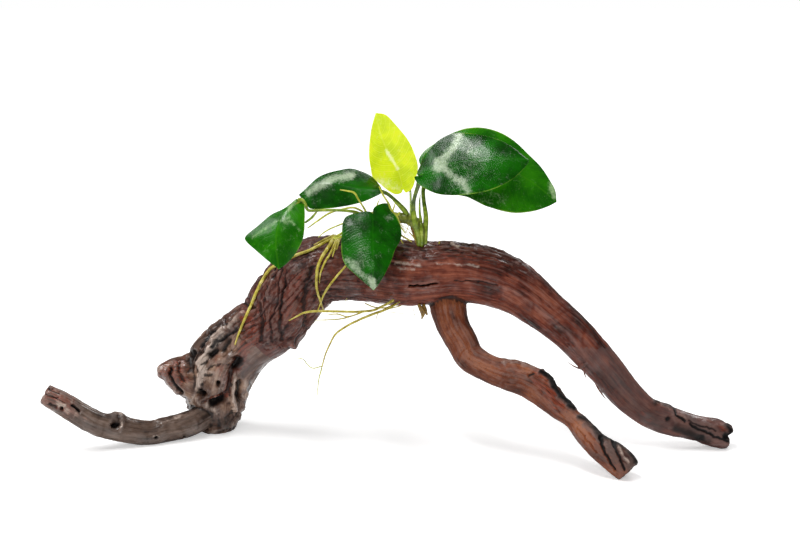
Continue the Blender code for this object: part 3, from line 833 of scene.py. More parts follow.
# %% The right leg
height += carve("spine", front=[
    ([(78, 62), (90, 49), (100, 38)], 2.6, 0, {"rust": 0.55}),
    ([(70, 64), (84, 50)], 0.5, -0.45, 0.6),
    ([(92, 52), (104, 38), (112, 30)], 0.4, -0.4, 0.08),
    ([(100, 40), (108, 30), (118, 20)], 0.4, -0.4, {"rust": 0.3}),
    ([(136.5, 21.6), (140, 20.2), (143.6, 18.6)], 0.7, 0.5, {"bone": 0.3, "rust": 0.7}),
    ([(104, 36), (118, 23), (132, 14)], 3, 0, {"rust": 0.4}),
    ([(110, 34), (124, 21), (140, 14), (172, 6)], 9, 0, 0.50),
    ([(142.8, 21.6), (145.4, 19.2), (146.2, 16.2), (149.8, 12.8)], 0.6, -1.7, 0.55),
    ([(144.4, 16), (146.2, 12.5), (145.8, 9.8), (143, 9.4)], 0.8, 0.8, {"ash": 0.6}),
    ([(142.2, 14)], 0.8, -1.4, 0.7),
    # painted glint: a bright white spot in the hole
    ([(142.4, 13.8)], 0.5, 0.8, {"bone": 1.6}),
    ([(153, 11.4), (159.7, 8.1), (165.5, 4.9), (172, 3)], 0.5, -1.8, 0.6),
    ([(146, 9), (155, 5.8), (162, 2.4)], 2.2, 0.4, {"soot": 0.3, "bark": 0.5}),
    ([(150, 15.4), (158, 12.4), (165, 9.5)], 1.8, 0.9, {"ash": 0.55, "bone": 0.12}),
    ([(168.5, 11), (169.5, 8.5)], 1.3, -1, {"rust": 0.7}),
    ([(166, 8), (158, 10.8), (152, 13)], 0.35, -0.7, 0.3),
], round=[
    ([(135.6, 22.4), (138, 23), (142.4, 20.8)], 1.7, 1.8, {"bark": 0.9, "soot": 0.35}),
    ([(92.5, 35.6), (101, 41.4)], 0.7, 1.6, {"bark": 0.8}),
    ([(106.5, 26.4), (110, 28.4)], 0.6, 1.8, {"bark": 0.9}),
    ([(176, 5), (171, 5.4)], 1.3, -4.6, 0.8),
    ([(174, 8.4), (170, 10.6)], 1.5, 1.4, {"bark": 0.5}),
    ([(173, 1.2), (168, -0.4)], 1.4, 1.2, {"bark": 0.4}),
    ([(163, 14.2), (168.4, 13.8)], 1.2, 1, {"bark": 0.8}),
    ([(171.6, 11), (173, 7.8)], 1.1, 1.1, {"bark": 0.9, "soot": 0.4}),
    ([(155.5, 3.2), (158.5, 4.6)], 1.4, -1.2, 0.3),
], back=[
    ([(100, 48), (112, 34)], 0.6, -0.9, 0.8),
    ([(150, 10), (164, 7)], 0.8, -1.2, 0.8),
])

# %% The front leg and its rim of bark
BARK_RIDGE = [
    (60, 42.7), (66.5, 43), (75, 39.4), (78, 37), (83, 34), (84.4, 30.3), (88.7, 24.6), (94.2, 18.9),
    (97.6, 14.6), (103, 12.2), (108, 5.6), (115, 2.6), (121.4, -1.2), (125.6, -7.5),
]
height += carve("front_leg", round=[
    (BARK_RIDGE[:4], 1.3, 0.7, {"ash": 1.3, "bone": 0.3}),
    (BARK_RIDGE[3:8], 1.5, 1.5, {"bark": 1.3, "soot": 1}),
    (BARK_RIDGE[8:], 2, 0.9, {"bark": 1.3, "soot": 0.75}),
], front=[
    ([(100, 11), (105, 6.5), (111, 0)], 1.1, 0.3, {"ash": 0.9}),
    ([(76, 36), (81, 29), (87, 20)], 3.2, 0, {"rust": 1.1}),
    ([(72.6, 35.8), (74.6, 37)], 0.8, -0.6, 0.8),
    ([(83, 15.4), (90, 11.6), (95, 6.5), (100, 0)], 0.7, 0.2, {"ash": 1}),
    ([(114, -2), (121, -8)], 4.2, 0.5, {"bark": 1, "ash": 0.5}),
    ([(108, 4), (111, -4), (115, -11)], 0.8, -1.1, 1),
    ([(114, 2), (118, -5), (120, -12)], 0.7, -1, 1),
    ([(117, 0), (122, -8)], 0.6, 0.6, {"bone": 0.5}),
    ([(97, 10), (101, 4), (106, -3)], 0.6, -0.4, {"soot": 0.4, "rust": 0.4}),
    ([(27, 72), (38, 73)], 2.6, -0.3, 0.45),
    ([(40, 70), (42, 62), (46, 53), (52, 46)], 1.6, 0, 0.5),
    ([(24, 66), (28, 56), (35, 45), (46, 36), (62, 27), (76, 19)], 1.5, 0, 0.38),
    ([(33, 66), (34, 58)], 2.2, 0, 0.25),
], back=[
    ([(50, 42), (64, 36)], 0.7, -0.8, 0.7),
])
print("relief with marks from", height.min().round(2), "to", height.max().round(2), "mm")

# %% [markdown]
# ## Where the bark ends
# On the left of the arch the outer bark is still on, and it stops at a ragged lip above the
# knot, with smooth grey wood below. A straight edge on the sheet is made ragged by noise that
# runs down the grain, and the bark stands a little proud of what it covers.

# %% Bark on the left, rough skin on top
BARK_EDGE = np.array([(-78, 57), (-70, 54), (-60, 51), (-50, 49.5), (-40, 50)])
BARK_PROUD = 0.9
spine_spot = on_limb["spine"]
edge_up = np.interp(sheet_across, BARK_EDGE[:, 0], BARK_EDGE[:, 1])
ragged = 2.6 * noise(np.stack((sheet_across / 2.2, sheet_up / 14.0, skin_places[:, 1] / 9.0), axis=1), 61)
on_left_arch = ramp(spine_spot.station, 5.6, 6.4) * ramp(13.5 - spine_spot.station, 0.0, 4.0)
with_bark = ramp(sheet_up - edge_up + ragged, -0.4, 0.9) * on_left_arch * share["spine"]
bare_below = ramp(edge_up - ragged - sheet_up, 0.0, 1.2) * ramp(sheet_across, -75.0, -70.0)
bare_below *= ramp(spine_spot.station, 4.6, 5.6) * share["spine"]
upper_side = ramp(-spine_spot.round[:, 0], 0.25, 0.75) * ramp(18.5 - spine_spot.station, 0.0, 3.0)
upper_side *= ramp(spine_spot.station, 7.0, 9.0) * share["spine"]

height += BARK_PROUD * with_bark * (0.7 + 0.3 * noise(spine_spot.grain / (9.0, 2.6, 2.6), 62))
height *= 1.0 - 0.65 * bare_below
height += 0.55 * upper_side * rough_bark(spine_spot.grain / (1.6, 1.0, 1.0), 63)
stain["bark"] += 0.75 * with_bark + 0.6 * upper_side
stain["ash"] += 0.9 * bare_below
print("bark covers", round(float(100 * with_bark.mean())), "percent of the skin")

# %% [markdown]
# ## Hollows for the dirt and painted shade
# Dark dirt sits in the hollows of old wood and wears off its crests, and shade falls in the
# hollows too. The finish paints both as one darker colour, and makes the crests a little paler,
# as wear and as painted light. A shader could look for hollows with rays while it renders, but an
# exported model can't. So the skin is evened out in two sizes here, and how far each point lies
# below the evened skin is kept on it as a number.

# %% Push the skin out and find its hollows
HOLLOW_STEPS = 7
VALLEY_STEPS = 50
FULL_HOLLOW = 0.32
FULL_VALLEY = 1.6
FOOT_GAP = 0.03


def neighbour_mean(values, faces, steps):
    """Values of a skin, evened out over a few rings of neighbours."""
    ends = np.concatenate([faces[:, [0, 1]], faces[:, [1, 2]], faces[:, [2, 0]]])
    count = np.bincount(ends.ravel(), minlength=len(values))
    for _ in range(steps):
        sums = [
            np.bincount(ends[:, 0], column[ends[:, 1]], len(values))
            + np.bincount(ends[:, 1], column[ends[:, 0]], len(values))
            for column in values.T
        ]
        values = np.stack(sums, axis=1) / count[:, None]
    return values


def face_normals_on_points(places, faces):
    a, b, c = (places[faces[:, k]] for k in range(3))
    across = np.cross(b - a, c - a)
    total = np.stack([
        np.bincount(faces.ravel(), np.repeat(across[:, axis], 3), len(places)) for axis in range(3)
    ], axis=1)
    return unit(total)


grounded = skin_places[:, 2] < 1e-3
carved_places = skin_places + skin_outward * height[:, None]
carved_places[:, 2] = np.where(grounded, 0.0, np.maximum(carved_places[:, 2], FOOT_GAP))
standing_faces = grounded[skin_faces].all(1)
carved_outward = face_normals_on_points(carved_places, skin_faces[~standing_faces])
evened = neighbour_mean(carved_places, skin_faces, HOLLOW_STEPS)
valleys = neighbour_mean(evened, skin_faces, VALLEY_STEPS)
fine_hollow, broad_hollow = (
    ((even - carved_places) * carved_outward).sum(1) for even in (evened, valleys)
)
hollow = np.clip(fine_hollow / FULL_HOLLOW + broad_hollow / FULL_VALLEY, -1.0, 1.0)
print("hollow from", hollow.min().round(2), "to", hollow.max().round(2))

# %% [markdown]
# ## One skin, six pieces
# The solids part the branch at its forks, so that each length of wood can be handled alone. The
# carved skin is parted along the same forks. Cutting it with a boolean would leave a gap, so each
# face simply goes to the limb it lies on, the open rims are closed by fans inside the wood, and
# every piece keeps the outward directions of the whole skin, which hides the joint.

# %% Sort the faces into pieces
KNOT_ENDS_AT = 6.5
LEG_STARTS_AT = 14.0
WOOD_PIECES = ("root_knot", "arch", "right_leg", "front_leg", "left_limb", "knot_stub")

nearness_even = neighbour_mean(nearness, skin_faces, 4)
face_limb = np.argmin(nearness_even[skin_faces].mean(1), axis=1)
face_station = spine_spot.station[skin_faces].mean(1)
on_spine = (face_station > KNOT_ENDS_AT).astype(int) + (face_station > LEG_STARTS_AT)
face_piece = np.where(face_limb == 0, on_spine, face_limb + 2)
print("faces of", {name: int((face_piece == k).sum()) for k, name in enumerate(WOOD_PIECES)})

# %% Close a rim with fans


def open_edges(faces):
    """Directed edges of a set of triangles that no other triangle of the set runs back along."""
    edges = np.concatenate([faces[:, [0, 1]], faces[:, [1, 2]], faces[:, [2, 0]]]).astype(np.int64)
    size = int(edges.max()) + 1
    forward = edges[:, 0] * size + edges[:, 1]
    backward = edges[:, 1] * size + edges[:, 0]
    return edges[~np.isin(forward, backward)]


def rims(edges):
    """The edges sorted into rims that hang together."""
    following = {}
    for start, end in edges.tolist():
        following.setdefault(start, []).append(end)
    loops = []
    while following:
        loop = []
        spot = next(iter(following))
        while spot in following:
            end = following[spot].pop()
            if not following[spot]:
                del following[spot]
            loop.append((spot, end))
            spot = end
        loops.append(loop)
    return loops


def closed_with_fans(places, faces):
    """Places and faces with a fan over each rim, drawn to a point inside the wood."""
    fans = []
    centres = []
    for loop in rims(open_edges(faces)):
        middle = len(places) + len(centres)
        centres.append(places[[start for start, _ in loop]].mean(0))
        fans += [(end, start, middle) for start, end in loop]
    if not fans:
        return places, faces
    return np.vstack([places, centres]), np.vstack([faces, fans])


# %% Make objects from arrays


def mesh_object(name, places, faces, attributes=None, outward=None):
    """A smooth mesh object at the origin from places in millimetres, with its point attributes."""
    mesh = bpy.data.meshes.new(name)
    mesh.from_pydata((np.asarray(places) * MM).tolist(), [], np.asarray(faces).tolist())
    mesh.shade_smooth()
    for key, values in (attributes or {}).items():
        values = np.asarray(values, np.float32)
        kind = "FLOAT_VECTOR" if values.ndim == 2 else "FLOAT"
        layer = mesh.attributes.new(key, kind, "POINT")
        layer.data.foreach_set("vector" if values.ndim == 2 else "value", values.ravel())
    if outward is not None:
        mesh.normals_split_custom_set_from_vertices(outward.tolist())
    return placed(name, mesh)


def wood_piece(index, name):
    faces = skin_faces[face_piece == index]
    places, faces = closed_with_fans(carved_places, faces)
    used, faces = np.unique(faces, return_inverse=True)
    faces = faces.reshape(-1, 3)
    added = len(places) - len(carved_places)

    def kept(values):
        spare = np.zeros((added,) + values.shape[1:])
        return np.concatenate([values, spare])[used]

    limb_name = name if name in LIMBS else "spine"
    marks = {key: np.clip(kept(values), 0.0, 1.0) for key, values in stain.items()}
    marks["grain"] = kept(on_limb[limb_name].grain)
    marks["hollow"] = kept(hollow)
    outward = kept(carved_outward) + (0.0, 0.0, 1e-6)
    return mesh_object("wood_" + name, places[used], faces, marks, outward)


wood = {name: wood_piece(index, name) for index, name in enumerate(WOOD_PIECES)}
print("wood pieces:", ", ".join(wood))

# %% [markdown]
# ## Effects that several finishes share
# Streaks along the grain, dirt and painted shade in the hollows and a thin film of water turn up
# in more than one finish. Each is a node group with named sockets, built once and placed with
# other values.

# %% Group: grain streaks


def grain_streaks_group():
    """Streaks along the grain at two widths. Grain is in millimetres, the first number along the wood."""
    bench, given, result = open_group(
        "grain_streaks", "ShaderNodeTree",
        {"Grain": ("Vector", (0.0, 0.0, 0.0)), "Stretch": 24.0, "Broad": 3.0, "Fine": 0.5},
        {"Broad": "Float", "Fine": "Float"},
    )
    along = bench.over(1.0, given["Stretch"])
    for key, detail, rough in (("Broad", 4.0, 0.62), ("Fine", 3.0, 0.6)):
        across = bench.over(1.0, given[key])
        lengthwise = bench.times(along, bench.plus(across, 0.6))
        size = bench.add("ShaderNodeCombineXYZ", {"X": lengthwise, "Y": across, "Z": across})
        streak = bench.noise(bench.vector("MULTIPLY", given["Grain"], size), 1.0, detail, rough)
        bench.feed(result[key], streak)
    return bench.tree


grain_streaks = grain_streaks_group()

# %% Group: dirt and painted shade in the hollows


def shade_and_dirt_group():
    """Darkens a colour in hollows and cuts, as dirt and painted shade, and lightens the crests a little,
    as wear and painted light.
    """
    bench, given, result = open_group(
        "shade_and_dirt_in_hollows", "ShaderNodeTree",
        {
            "Colour": ("Color", (0.5, 0.5, 0.5, 1.0)), "Dirt And Shade": ("Color", (0.01, 0.006, 0.005, 1.0)),
            "Hollow": 0.0, "Soot And Shade": 0.0, "Amount": 0.8,
        },
        {"Colour": "Color", "Depth": "Float"},
    )
    sunk = bench.between(given["Hollow"], 0.05, 0.85)
    share = bench.times(sunk, given["Amount"])
    # soot strokes, partly painted shade in holes and cracks, darken the colour like the hollows
    share = bench.math("MAXIMUM", share, bench.between(given["Soot And Shade"], 0.25, 0.85))
    crest = bench.between(given["Hollow"], -0.2, -0.9, 0.0, 0.10)
    worn_and_lit_crests = bench.blend(crest, given["Colour"], (0.62, 0.5, 0.45, 1.0))
    bench.feed(result["Colour"], bench.blend(share, worn_and_lit_crests, given["Dirt And Shade"]))
    bench.feed(result["Depth"], share)
    return bench.tree


shade_and_dirt_in_hollows = shade_and_dirt_group()

# %% Group: film of water


def water_film_group():
    """Where a thin film of water lies, from 0 to 1, in soft patches over a surface."""
    bench, given, result = open_group(
        "water_film", "ShaderNodeTree",
        {"Place": ("Vector", (0.0, 0.0, 0.0)), "Size": 9.0, "Cover": 0.5},
        {"Film": "Float"},
    )
    scale = bench.over(1000.0, given["Size"])
    patch = bench.noise(given["Place"], scale, 4.0, 0.6)
    edge = bench.minus(1.0, given["Cover"])
    low = bench.minus(edge, 0.12)
    high = bench.plus(edge, 0.12)
    bench.feed(result["Film"], bench.between(patch, low, high))
    return bench.tree


water_film = water_film_group()
print("shader groups:", [tree.name for tree in bpy.data.node_groups])

# %% [markdown]
# ## Driftwood finish
# Tannin has stained the wood from plum brown to rust, the knot and the left limb are paler and
# greyer, and the front leg has lost its bark and shows orange wood. One function makes the four
# finishes from their own pigments. Streaks follow the grain coordinates that each piece carries,
# the listed marks add soot, bone, rust, ash and bark, and the wet skin is a coat that lies in
# patches. Soot also paints the shade in holes and cracks, bone also paints glints, and the
# hollows are darkened as dirt and as painted shade.

# %% Wood finish
# streak: width of the streaks in millimetres. fibre: share of fine fibres in the tone. film: how
# much of the skin a film of water covers. specks: strength of the dark specks.
WOOD_FINISHES = {
    "dark_wood": dict(
        deep=paint(34, 10, 6), middle=paint(98, 42, 28), light=paint(148, 82, 60),
        bark_deep=paint(22, 8, 8), bark_light=paint(92, 46, 36),
        streak=3.0, fibre=0.36, film=0.44, specks=0.0,
    ),
    "grey_wood": dict(
        deep=paint(34, 18, 12), middle=paint(92, 64, 50), light=paint(160, 130, 110),
        bark_deep=paint(24, 10, 8), bark_light=paint(100, 52, 38),
        streak=4.5, fibre=0.14, film=0.56, specks=0.0,
    ),
    "limb_wood": dict(
        deep=paint(44, 30, 24), middle=paint(84, 66, 56), light=paint(116, 96, 84),
        bark_deep=paint(24, 12, 10), bark_light=paint(92, 56, 44),
        streak=3.4, fibre=0.26, film=0.48, specks=0.0,
    ),
    "orange_wood": dict(
        deep=paint(58, 24, 12), middle=paint(112, 56, 32), light=paint(144, 84, 52),
        bark_deep=paint(10, 6, 7), bark_light=paint(46, 36, 37),
        streak=4.5, fibre=0.30, film=0.30, specks=0.65,
    ),
}
RUST = paint(142, 54, 28)
BONE_AND_GLINT = paint(194, 174, 160)
ASH = paint(100, 84, 82)
SOOT_AND_SHADE = paint(14, 8, 7)
SPECK = paint(48, 26, 20)


def wood_finish(name, look):
    finish, bench, shader = new_finish(name)
    grain = bench.attribute("grain", "Vector")
    place = bench.add("ShaderNodeTexCoord", out="Object")
    sizes = {"Grain": grain, "Stretch": 22.0, "Broad": look["streak"], "Fine": 0.55}
    broad, fine = bench.group(grain_streaks, sizes, "Broad", "Fine")
    tone = bench.plus(bench.times(broad, 1.0 - look["fibre"]), bench.times(fine, look["fibre"]))
    tone = bench.plus(tone, bench.unrest(0.10, place, 70.0, 3.0, 0.6))
    bare = bench.colours(tone, [(0.32, look["deep"]), (0.68, look["light"]), (0.49, look["middle"])])
    bark_tone = bench.noise(place, 420.0, 5.0, 0.7)
    bark = bench.colours(bark_tone, [(0.36, look["bark_deep"]), (0.68, look["bark_light"])])
    ragged = bench.unrest(0.25, place, 260.0, 4.0, 0.65)

    def stained(colour, mark, pigment, most):
        share = bench.between(bench.plus(bench.attribute(mark), ragged), 0.15, 0.75, 0.0, most)
        return bench.blend(share, colour, pigment)

    colour = stained(bare, "ash", bench.blend(0.45, bare, ASH), 0.95)
    colour = stained(colour, "bark", bench.blend(0.2, bark, bare), 0.85)
    colour = stained(colour, "rust", bench.blend(bench.between(fine, 0.35, 0.65), SPECK, RUST), 0.62)
    # bone: pale wood, and on a few crests painted glints and highlights
    colour = stained(colour, "bone", bench.blend(bench.between(fine, 0.2, 0.6), bare, BONE_AND_GLINT), 0.9)
    if look["specks"]:
        dots = bench.between(bench.noise(place, 1500.0, 2.0, 0.6), 0.60, 0.68, 0.0, look["specks"])
        colour = bench.blend(dots, colour, SPECK)
    # the colour is darkened in hollows as dirt and painted shade, and lightened on crests as wear and
    # painted light
    dirt_and_shade = {"Colour": colour, "Dirt And Shade": SOOT_AND_SHADE, "Amount": 0.80}
    dirt_and_shade |= {"Hollow": bench.attribute("hollow"), "Soot And Shade": bench.attribute("soot")}
    colour, depth = bench.group(shade_and_dirt_in_hollows, dirt_and_shade, "Colour", "Depth")
    (film,) = bench.group(water_film, {"Place": place, "Size": 8.0, "Cover": look["film"]}, "Film")
    dry = bench.minus(1.0, depth)
    bench.dress(shader, {
        "Base Color": colour,
        "Roughness": bench.between(film, 0.0, 1.0, 0.60, 0.30),
        "Coat Weight": bench.times(bench.times(film, dry), 0.65),
        "Coat Roughness": 0.18,
        "Specular IOR Level": 0.28,
    })
    rough_height = bench.times(bench.plus(bench.attribute("bark"), 0.12), bark_tone)
    relief = bench.plus(bench.times(fine, 1.4 * look["fibre"]), bench.times(rough_height, 0.9))
    bench.feed(shader.inputs["Normal"], bench.bump(relief, 0.55, 0.0006))
    return finish


wood_finishes = {name: wood_finish(name, look) for name, look in WOOD_FINISHES.items()}
# piece: finish, slot
WOOD_LOOKS = {
    "root_knot": ("grey_wood", "driftwood_grey"),
    "arch": ("dark_wood", "driftwood"),
    "right_leg": ("dark_wood", "driftwood"),
    "front_leg": ("orange_wood", "driftwood_orange"),
    "left_limb": ("limb_wood", "driftwood_grey"),
    "knot_stub": ("grey_wood", "driftwood_grey"),
}


def settle(piece, finish, slot, *solids):
    """Give a piece its finish, let it ride on the part, and let it stand for the solids it replaces."""
    piece.data.materials.clear()
    piece.data.materials.append(finish)
    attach(piece, "root")
    if solids:
        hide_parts(*solids)
    print(piece.name, "has", len(piece.data.polygons), "faces in", finish.name)


for name, (finish, slot) in WOOD_LOOKS.items():
    settle(wood[name], wood_finishes[finish], slot, "driftwood_" + name)

# %% [markdown]
# ## Leaf blades
# The leaf of a dwarf anubias is a stiff, glossy, egg-shaped blade with a shallow heart at its
# base. The midrib lies in a groove above and stands out as a keel below, and fine side veins
# sweep towards the rim. A flat card with a picture would look thin from the side, so each blade
# is a closed sheet: rows along the midrib and columns across it, bent by a few numbers.

# %% Blade tables
# midrib: across, up, back, from base to tip. left and right: across and up of the rim between
# those two ends, as seen from the base with the upper side up. faces: the way the upper side
# looks at base and tip. fold: how far the halves bend back, in degrees. cup: how far the rim
# drops, as a share of the half width. wave: height of the ripple along the rim. film: where a
# pale sheen is painted on the upper side as its highlight, as strokes of (across, up) points,
# half width and strength.
BLADES = {}
BLADES["front_right"] = dict(
    midrib=[(17.5, 135, -4.9), (30, 141, -9), (50, 144, -12), (63, 144.2, -12.3), (72.5, 143.5, -12)],
    left=[
        (16.5, 137), (18, 141), (20, 145.5), (23.5, 149.2), (27, 153), (32, 156), (36.5, 157.1),
        (43.5, 157), (51.5, 155.5), (59, 153), (64.5, 149.8), (69, 146.5),
    ],
    right=[
        (15.2, 135), (17.5, 131.2), (25, 127), (32.5, 125.7), (41, 125.8), (51.5, 128), (59.5, 131),
        (65.5, 135), (70.5, 140),
    ],
    faces=[(-0.28, -0.78, 0.58), (0.32, -0.78, 0.55)], fold=3, cup=0.06, wave=0.9,
    film=[
        ([(38, 156.5), (35.5, 150.5), (31, 145.5), (26.5, 139.5)], 2.3, 1),
        ([(27, 143), (32, 137), (38, 133), (42, 127.5)], 2.6, 0.85),
        ([(42, 150), (46, 145.5), (44, 138.5)], 4.2, 0.42),
    ],
)
BLADES["rear_right"] = dict(
    midrib=[(23.5, 137, 9.2), (38, 143.5, 11.8), (55.5, 142, 13), (73, 133, 11.5), (86.2, 122.5, 9)],
    left=[
        (20, 138.5), (17.5, 143), (20, 147.5), (25, 151.5), (31, 155.5), (37, 158), (42, 159.2),
        (48.5, 159.4), (56.5, 157.5), (64, 153.5), (71.5, 147), (78.5, 140), (83, 133), (85.5, 128),
    ],
    right=[
        (21.5, 134), (27, 128.5), (34.5, 126.5), (41.5, 125), (46, 122.8), (51.5, 120), (59, 117.8),
        (66.5, 117), (75.5, 118.2), (82, 120.2),
    ],
    faces=[(-0.1, -0.76, 0.62), (0.25, -0.8, 0.5)], fold=6, cup=0.06, wave=0.7,
    film=[([(83.5, 131), (85.2, 125)], 1.6, 0.9), ([(50, 125), (58, 122)], 5, 0.3)],
)
BLADES["young"] = dict(
    midrib=[(9.5, 129.2, 15.4), (6.5, 139.5, 14.5), (1.2, 149, 13), (-2.5, 158.5, 11.5), (-4, 166.8, 10)],
    left=[
        (8.5, 127), (5.5, 126.5), (2, 128.2), (-2, 131.5), (-5.5, 134.5), (-6.6, 139), (-7.5, 145.5),
        (-7.2, 153), (-6, 160.5),
    ],
    right=[
        (11, 127.2), (14, 129), (15.5, 133), (17, 140), (15, 147.5), (12, 153.5), (9, 157.5),
        (5.5, 161.5), (1, 166),
    ],
    faces=[(0.1, -0.98, 0.1), (0.1, -0.98, 0.15)], fold=-8, cup=-0.08, wave=0.5,
    film=[([(1, 148.5), (6.8, 139.2)], 0.9, 1), ([(-2, 133), (6, 129.5)], 2.6, 0.7)],
)
BLADES["rear_left"] = dict(
    midrib=[
        (-1, 128.5, -2), (-9, 129, -2), (-17, 130, -2), (-26.5, 132.2, -1.5), (-35.5, 131, -1.2),
        (-42.5, 126, -1),
    ],
    left=[
        (-2, 126.2), (-10, 122.8), (-18, 120.7), (-25.5, 119.5), (-32.5, 118.9), (-37, 119.2),
        (-39.5, 122.5),
    ],
    right=[
        (-2.2, 131), (-6, 135.2), (-11.5, 137.9), (-17, 139.3), (-22.5, 138.5), (-27.5, 137),
        (-33, 134.5), (-38, 130.2),
    ],
    faces=[(0.02, -0.63, 0.78), (-0.22, -0.62, 0.76)], fold=14, cup=0.08, wave=0.6,
    film=[([(-16.5, 136), (-24, 134.6), (-31, 131.4), (-38, 127)], 2.4, 1)],
)
BLADES["far_left"] = dict(
    midrib=[
        (-43, 123, -19), (-48, 118.5, -23.5), (-52.5, 111.5, -28.5), (-54, 101.5, -32.5),
        (-52.5, 89, -35.5),
    ],
    left=[
        (-41.5, 124.8), (-40, 122.5), (-39.6, 117.5), (-39.8, 113), (-40, 108), (-41, 103), (-44.5, 96.5),
        (-49, 91.5),
    ],
    right=[
        (-44, 124.2), (-50, 119.2), (-56.5, 115.5), (-63, 110.2), (-68.8, 105.5), (-68.8, 102.8),
        (-63.5, 97.8), (-58.5, 93.5), (-55, 90.8),
    ],
    faces=[(-0.35, -0.6, 0.72), (-0.05, -0.9, 0.4)], fold=10, cup=0.14, wave=0.6,
    film=[
        ([(-44, 122.5), (-47.5, 119)], 1.5, 0.8),
        ([(-66, 104.5), (-60, 109), (-53, 113.2), (-47, 115)], 1, 0.5),
        ([(-50, 112.5), (-46, 112.5), (-42, 108)], 1, 0.5),
        ([(-50, 109), (-55, 104), (-59, 98.5)], 1, 0.3),
    ],
)
BLADES["front_middle"] = dict(
    midrib=[
        (-5.5, 116.5, -15), (-5.5, 107.5, -21), (-5.5, 97.5, -27.5), (-5.5, 87.5, -33.5),
        (-5.2, 78.5, -38),
    ],
    left=[
        (-4.8, 119.8), (-1, 121.6), (2.8, 121.5), (4.5, 118), (6.8, 114.5), (8.5, 110), (8.8, 106),
        (7.8, 102.5), (5.5, 98.5), (4, 94), (2, 89.5), (-0.5, 84.8), (-2.8, 81),
    ],
    right=[
        (-8, 117.8), (-13, 117.5), (-18.2, 115.8), (-20.5, 112.5), (-21.1, 107.5), (-21.4, 101.5),
        (-21, 95.5), (-19.2, 90.8), (-16, 87.5), (-12, 84), (-8.2, 80.8),
    ],
    faces=[(0.45, -0.8, 0.5), (-0.1, -0.86, 0.48)], fold=5, cup=0.1, wave=0.9,
    film=[
        ([(-5.2, 80), (-8, 84.5), (-13, 88), (-18.5, 93)], 2.2, 0.62),
        ([(-5.4, 79), (-5.4, 83.5)], 1.4, 1), ([(-12, 93), (-7, 97)], 5, 0.24),
        ([(-19, 112.5), (-12, 114)], 1.2, 0.35), ([(2, 114), (4, 117)], 2, 0.4),
    ],
)

# %% Run and facing of a blade


def read_by_length(rows, shares):
    """Rows of a run, whose first two columns are across and up, read at shares of its length."""
    length = np.concatenate(([0.0], np.cumsum(np.hypot(*np.diff(rows[:, :2], axis=0).T))))
    return np.stack([np.interp(shares * length[-1], length, column) for column in rows.T], axis=1)


def blade_frame(spec, s):
    """Centres and facing directions of a blade at shares s of its length."""
    midrib = smooth_run(spec["midrib"], 24)
    centre = seen(read_by_length(midrib, s))[0]
    even = np.linspace(0.0, 1.0, 60)
    course = unit(np.gradient(seen(read_by_length(midrib, even))[0], axis=0))
    heading = unit(np.stack([np.interp(s, even, column) for column in course.T], axis=1))
    base_face, tip_face = np.array(spec["faces"])
    face = base_face + (tip_face - base_face) * s[:, None]
    return centre, unit(face - heading * (face * heading).sum(1, keepdims=True))


def on_plane(points, origin, facing):
    """World places where the sheet's lines through (across, up) points cross planes."""
    ray = sight_lines(points[:, 0], points[:, 1])
    reach = ((origin - ORIGIN_SHIFT - EYE) * facing).sum(1) / (ray * facing).sum(1)
    return EYE + ray * reach[:, None] + ORIGIN_SHIFT


# %% Surface of a blade
BLADE_ROWS = 130
BLADE_COLUMNS = 81
BLADE_THICK = 0.36
VEIN_GAP = 3.4
VEIN_SWEEP = 9.6


def rim_places(spec, side, s, centre, face):
    """World places of one rim: its line on the sheet, on the plane of the blade, bent back a little."""
    base, *_, tip = np.array(spec["midrib"])[:, :2]
    points = read_by_length(smooth_run([base, *spec[side], tip], 12), s)
    half = np.linalg.norm(on_plane(points, centre, face) - centre, axis=1)
    drop = half * (math.sin(math.radians(spec["fold"])) + spec["cup"])
    return on_plane(points, centre - face * drop[:, None], face)


def blade_middle(spec, seed):
    """The middle surface of a blade: places, shares s and t, and millimetres along and across."""
    s = 0.5 - 0.5 * np.cos(math.pi * np.linspace(0.02, 0.985, BLADE_ROWS))
    t = np.sin(np.linspace(-math.pi / 2, math.pi / 2, BLADE_COLUMNS))
    centre, face = blade_frame(spec, s)
    length = np.linalg.norm(np.diff(centre, axis=0), axis=1).sum()
    rims = [rim_places(spec, side, s, centre, face) for side in ("left", "right")]
    reach = np.where((t < 0)[None, :, None], (rims[0] - centre)[:, None], (rims[1] - centre)[:, None])
    out = np.abs(t)[None]
    half = np.linalg.norm(reach, axis=-1)
    along = np.broadcast_to(s[:, None] * length, half.shape)
    far = t * half

    def ripple(size, offset):
        where = np.stack((along / size, far / size, np.full(half.shape, offset)), axis=-1)
        return noise(where.reshape(-1, 3), seed).reshape(half.shape)

    lift = spec["cup"] * half * (out - out ** 2) + spec["wave"] * ripple(11.0, 0.5) * out ** 3
    lift += 0.55 * ripple(15.0, 3.5) * out + 0.10 * ripple(5.0, 7.5)
    places = centre[:, None] + reach * out[..., None] + face[:, None] * lift[..., None]
    shares = np.stack(np.broadcast_arrays(s[:, None], t), axis=-1)
    return places, shares, np.stack((along, far), axis=-1)


def vein_height(shares, millimetres):
    """Grooves of the midrib and of the side veins on the upper side, in millimetres."""
    s, t = shares[..., 0], shares[..., 1]
    along, across = millimetres[..., 0], millimetres[..., 1]
    midrib = -0.13 * np.exp(-(across / (0.9 - 0.5 * s)) ** 2) * (1.0 - 0.6 * s)
    phase = (along - VEIN_SWEEP * np.abs(t) ** 1.35) / VEIN_GAP
    side = -0.018 * np.exp(-((phase - np.round(phase)) / 0.16) ** 2) * (1.0 - np.abs(t) ** 4)
    return midrib + side * ramp(np.abs(across), 0.8, 2.5)


def grid_normals(places):
    along = np.gradient(places, axis=0)
    across = np.gradient(places, axis=1)
    return unit(np.cross(across, along))


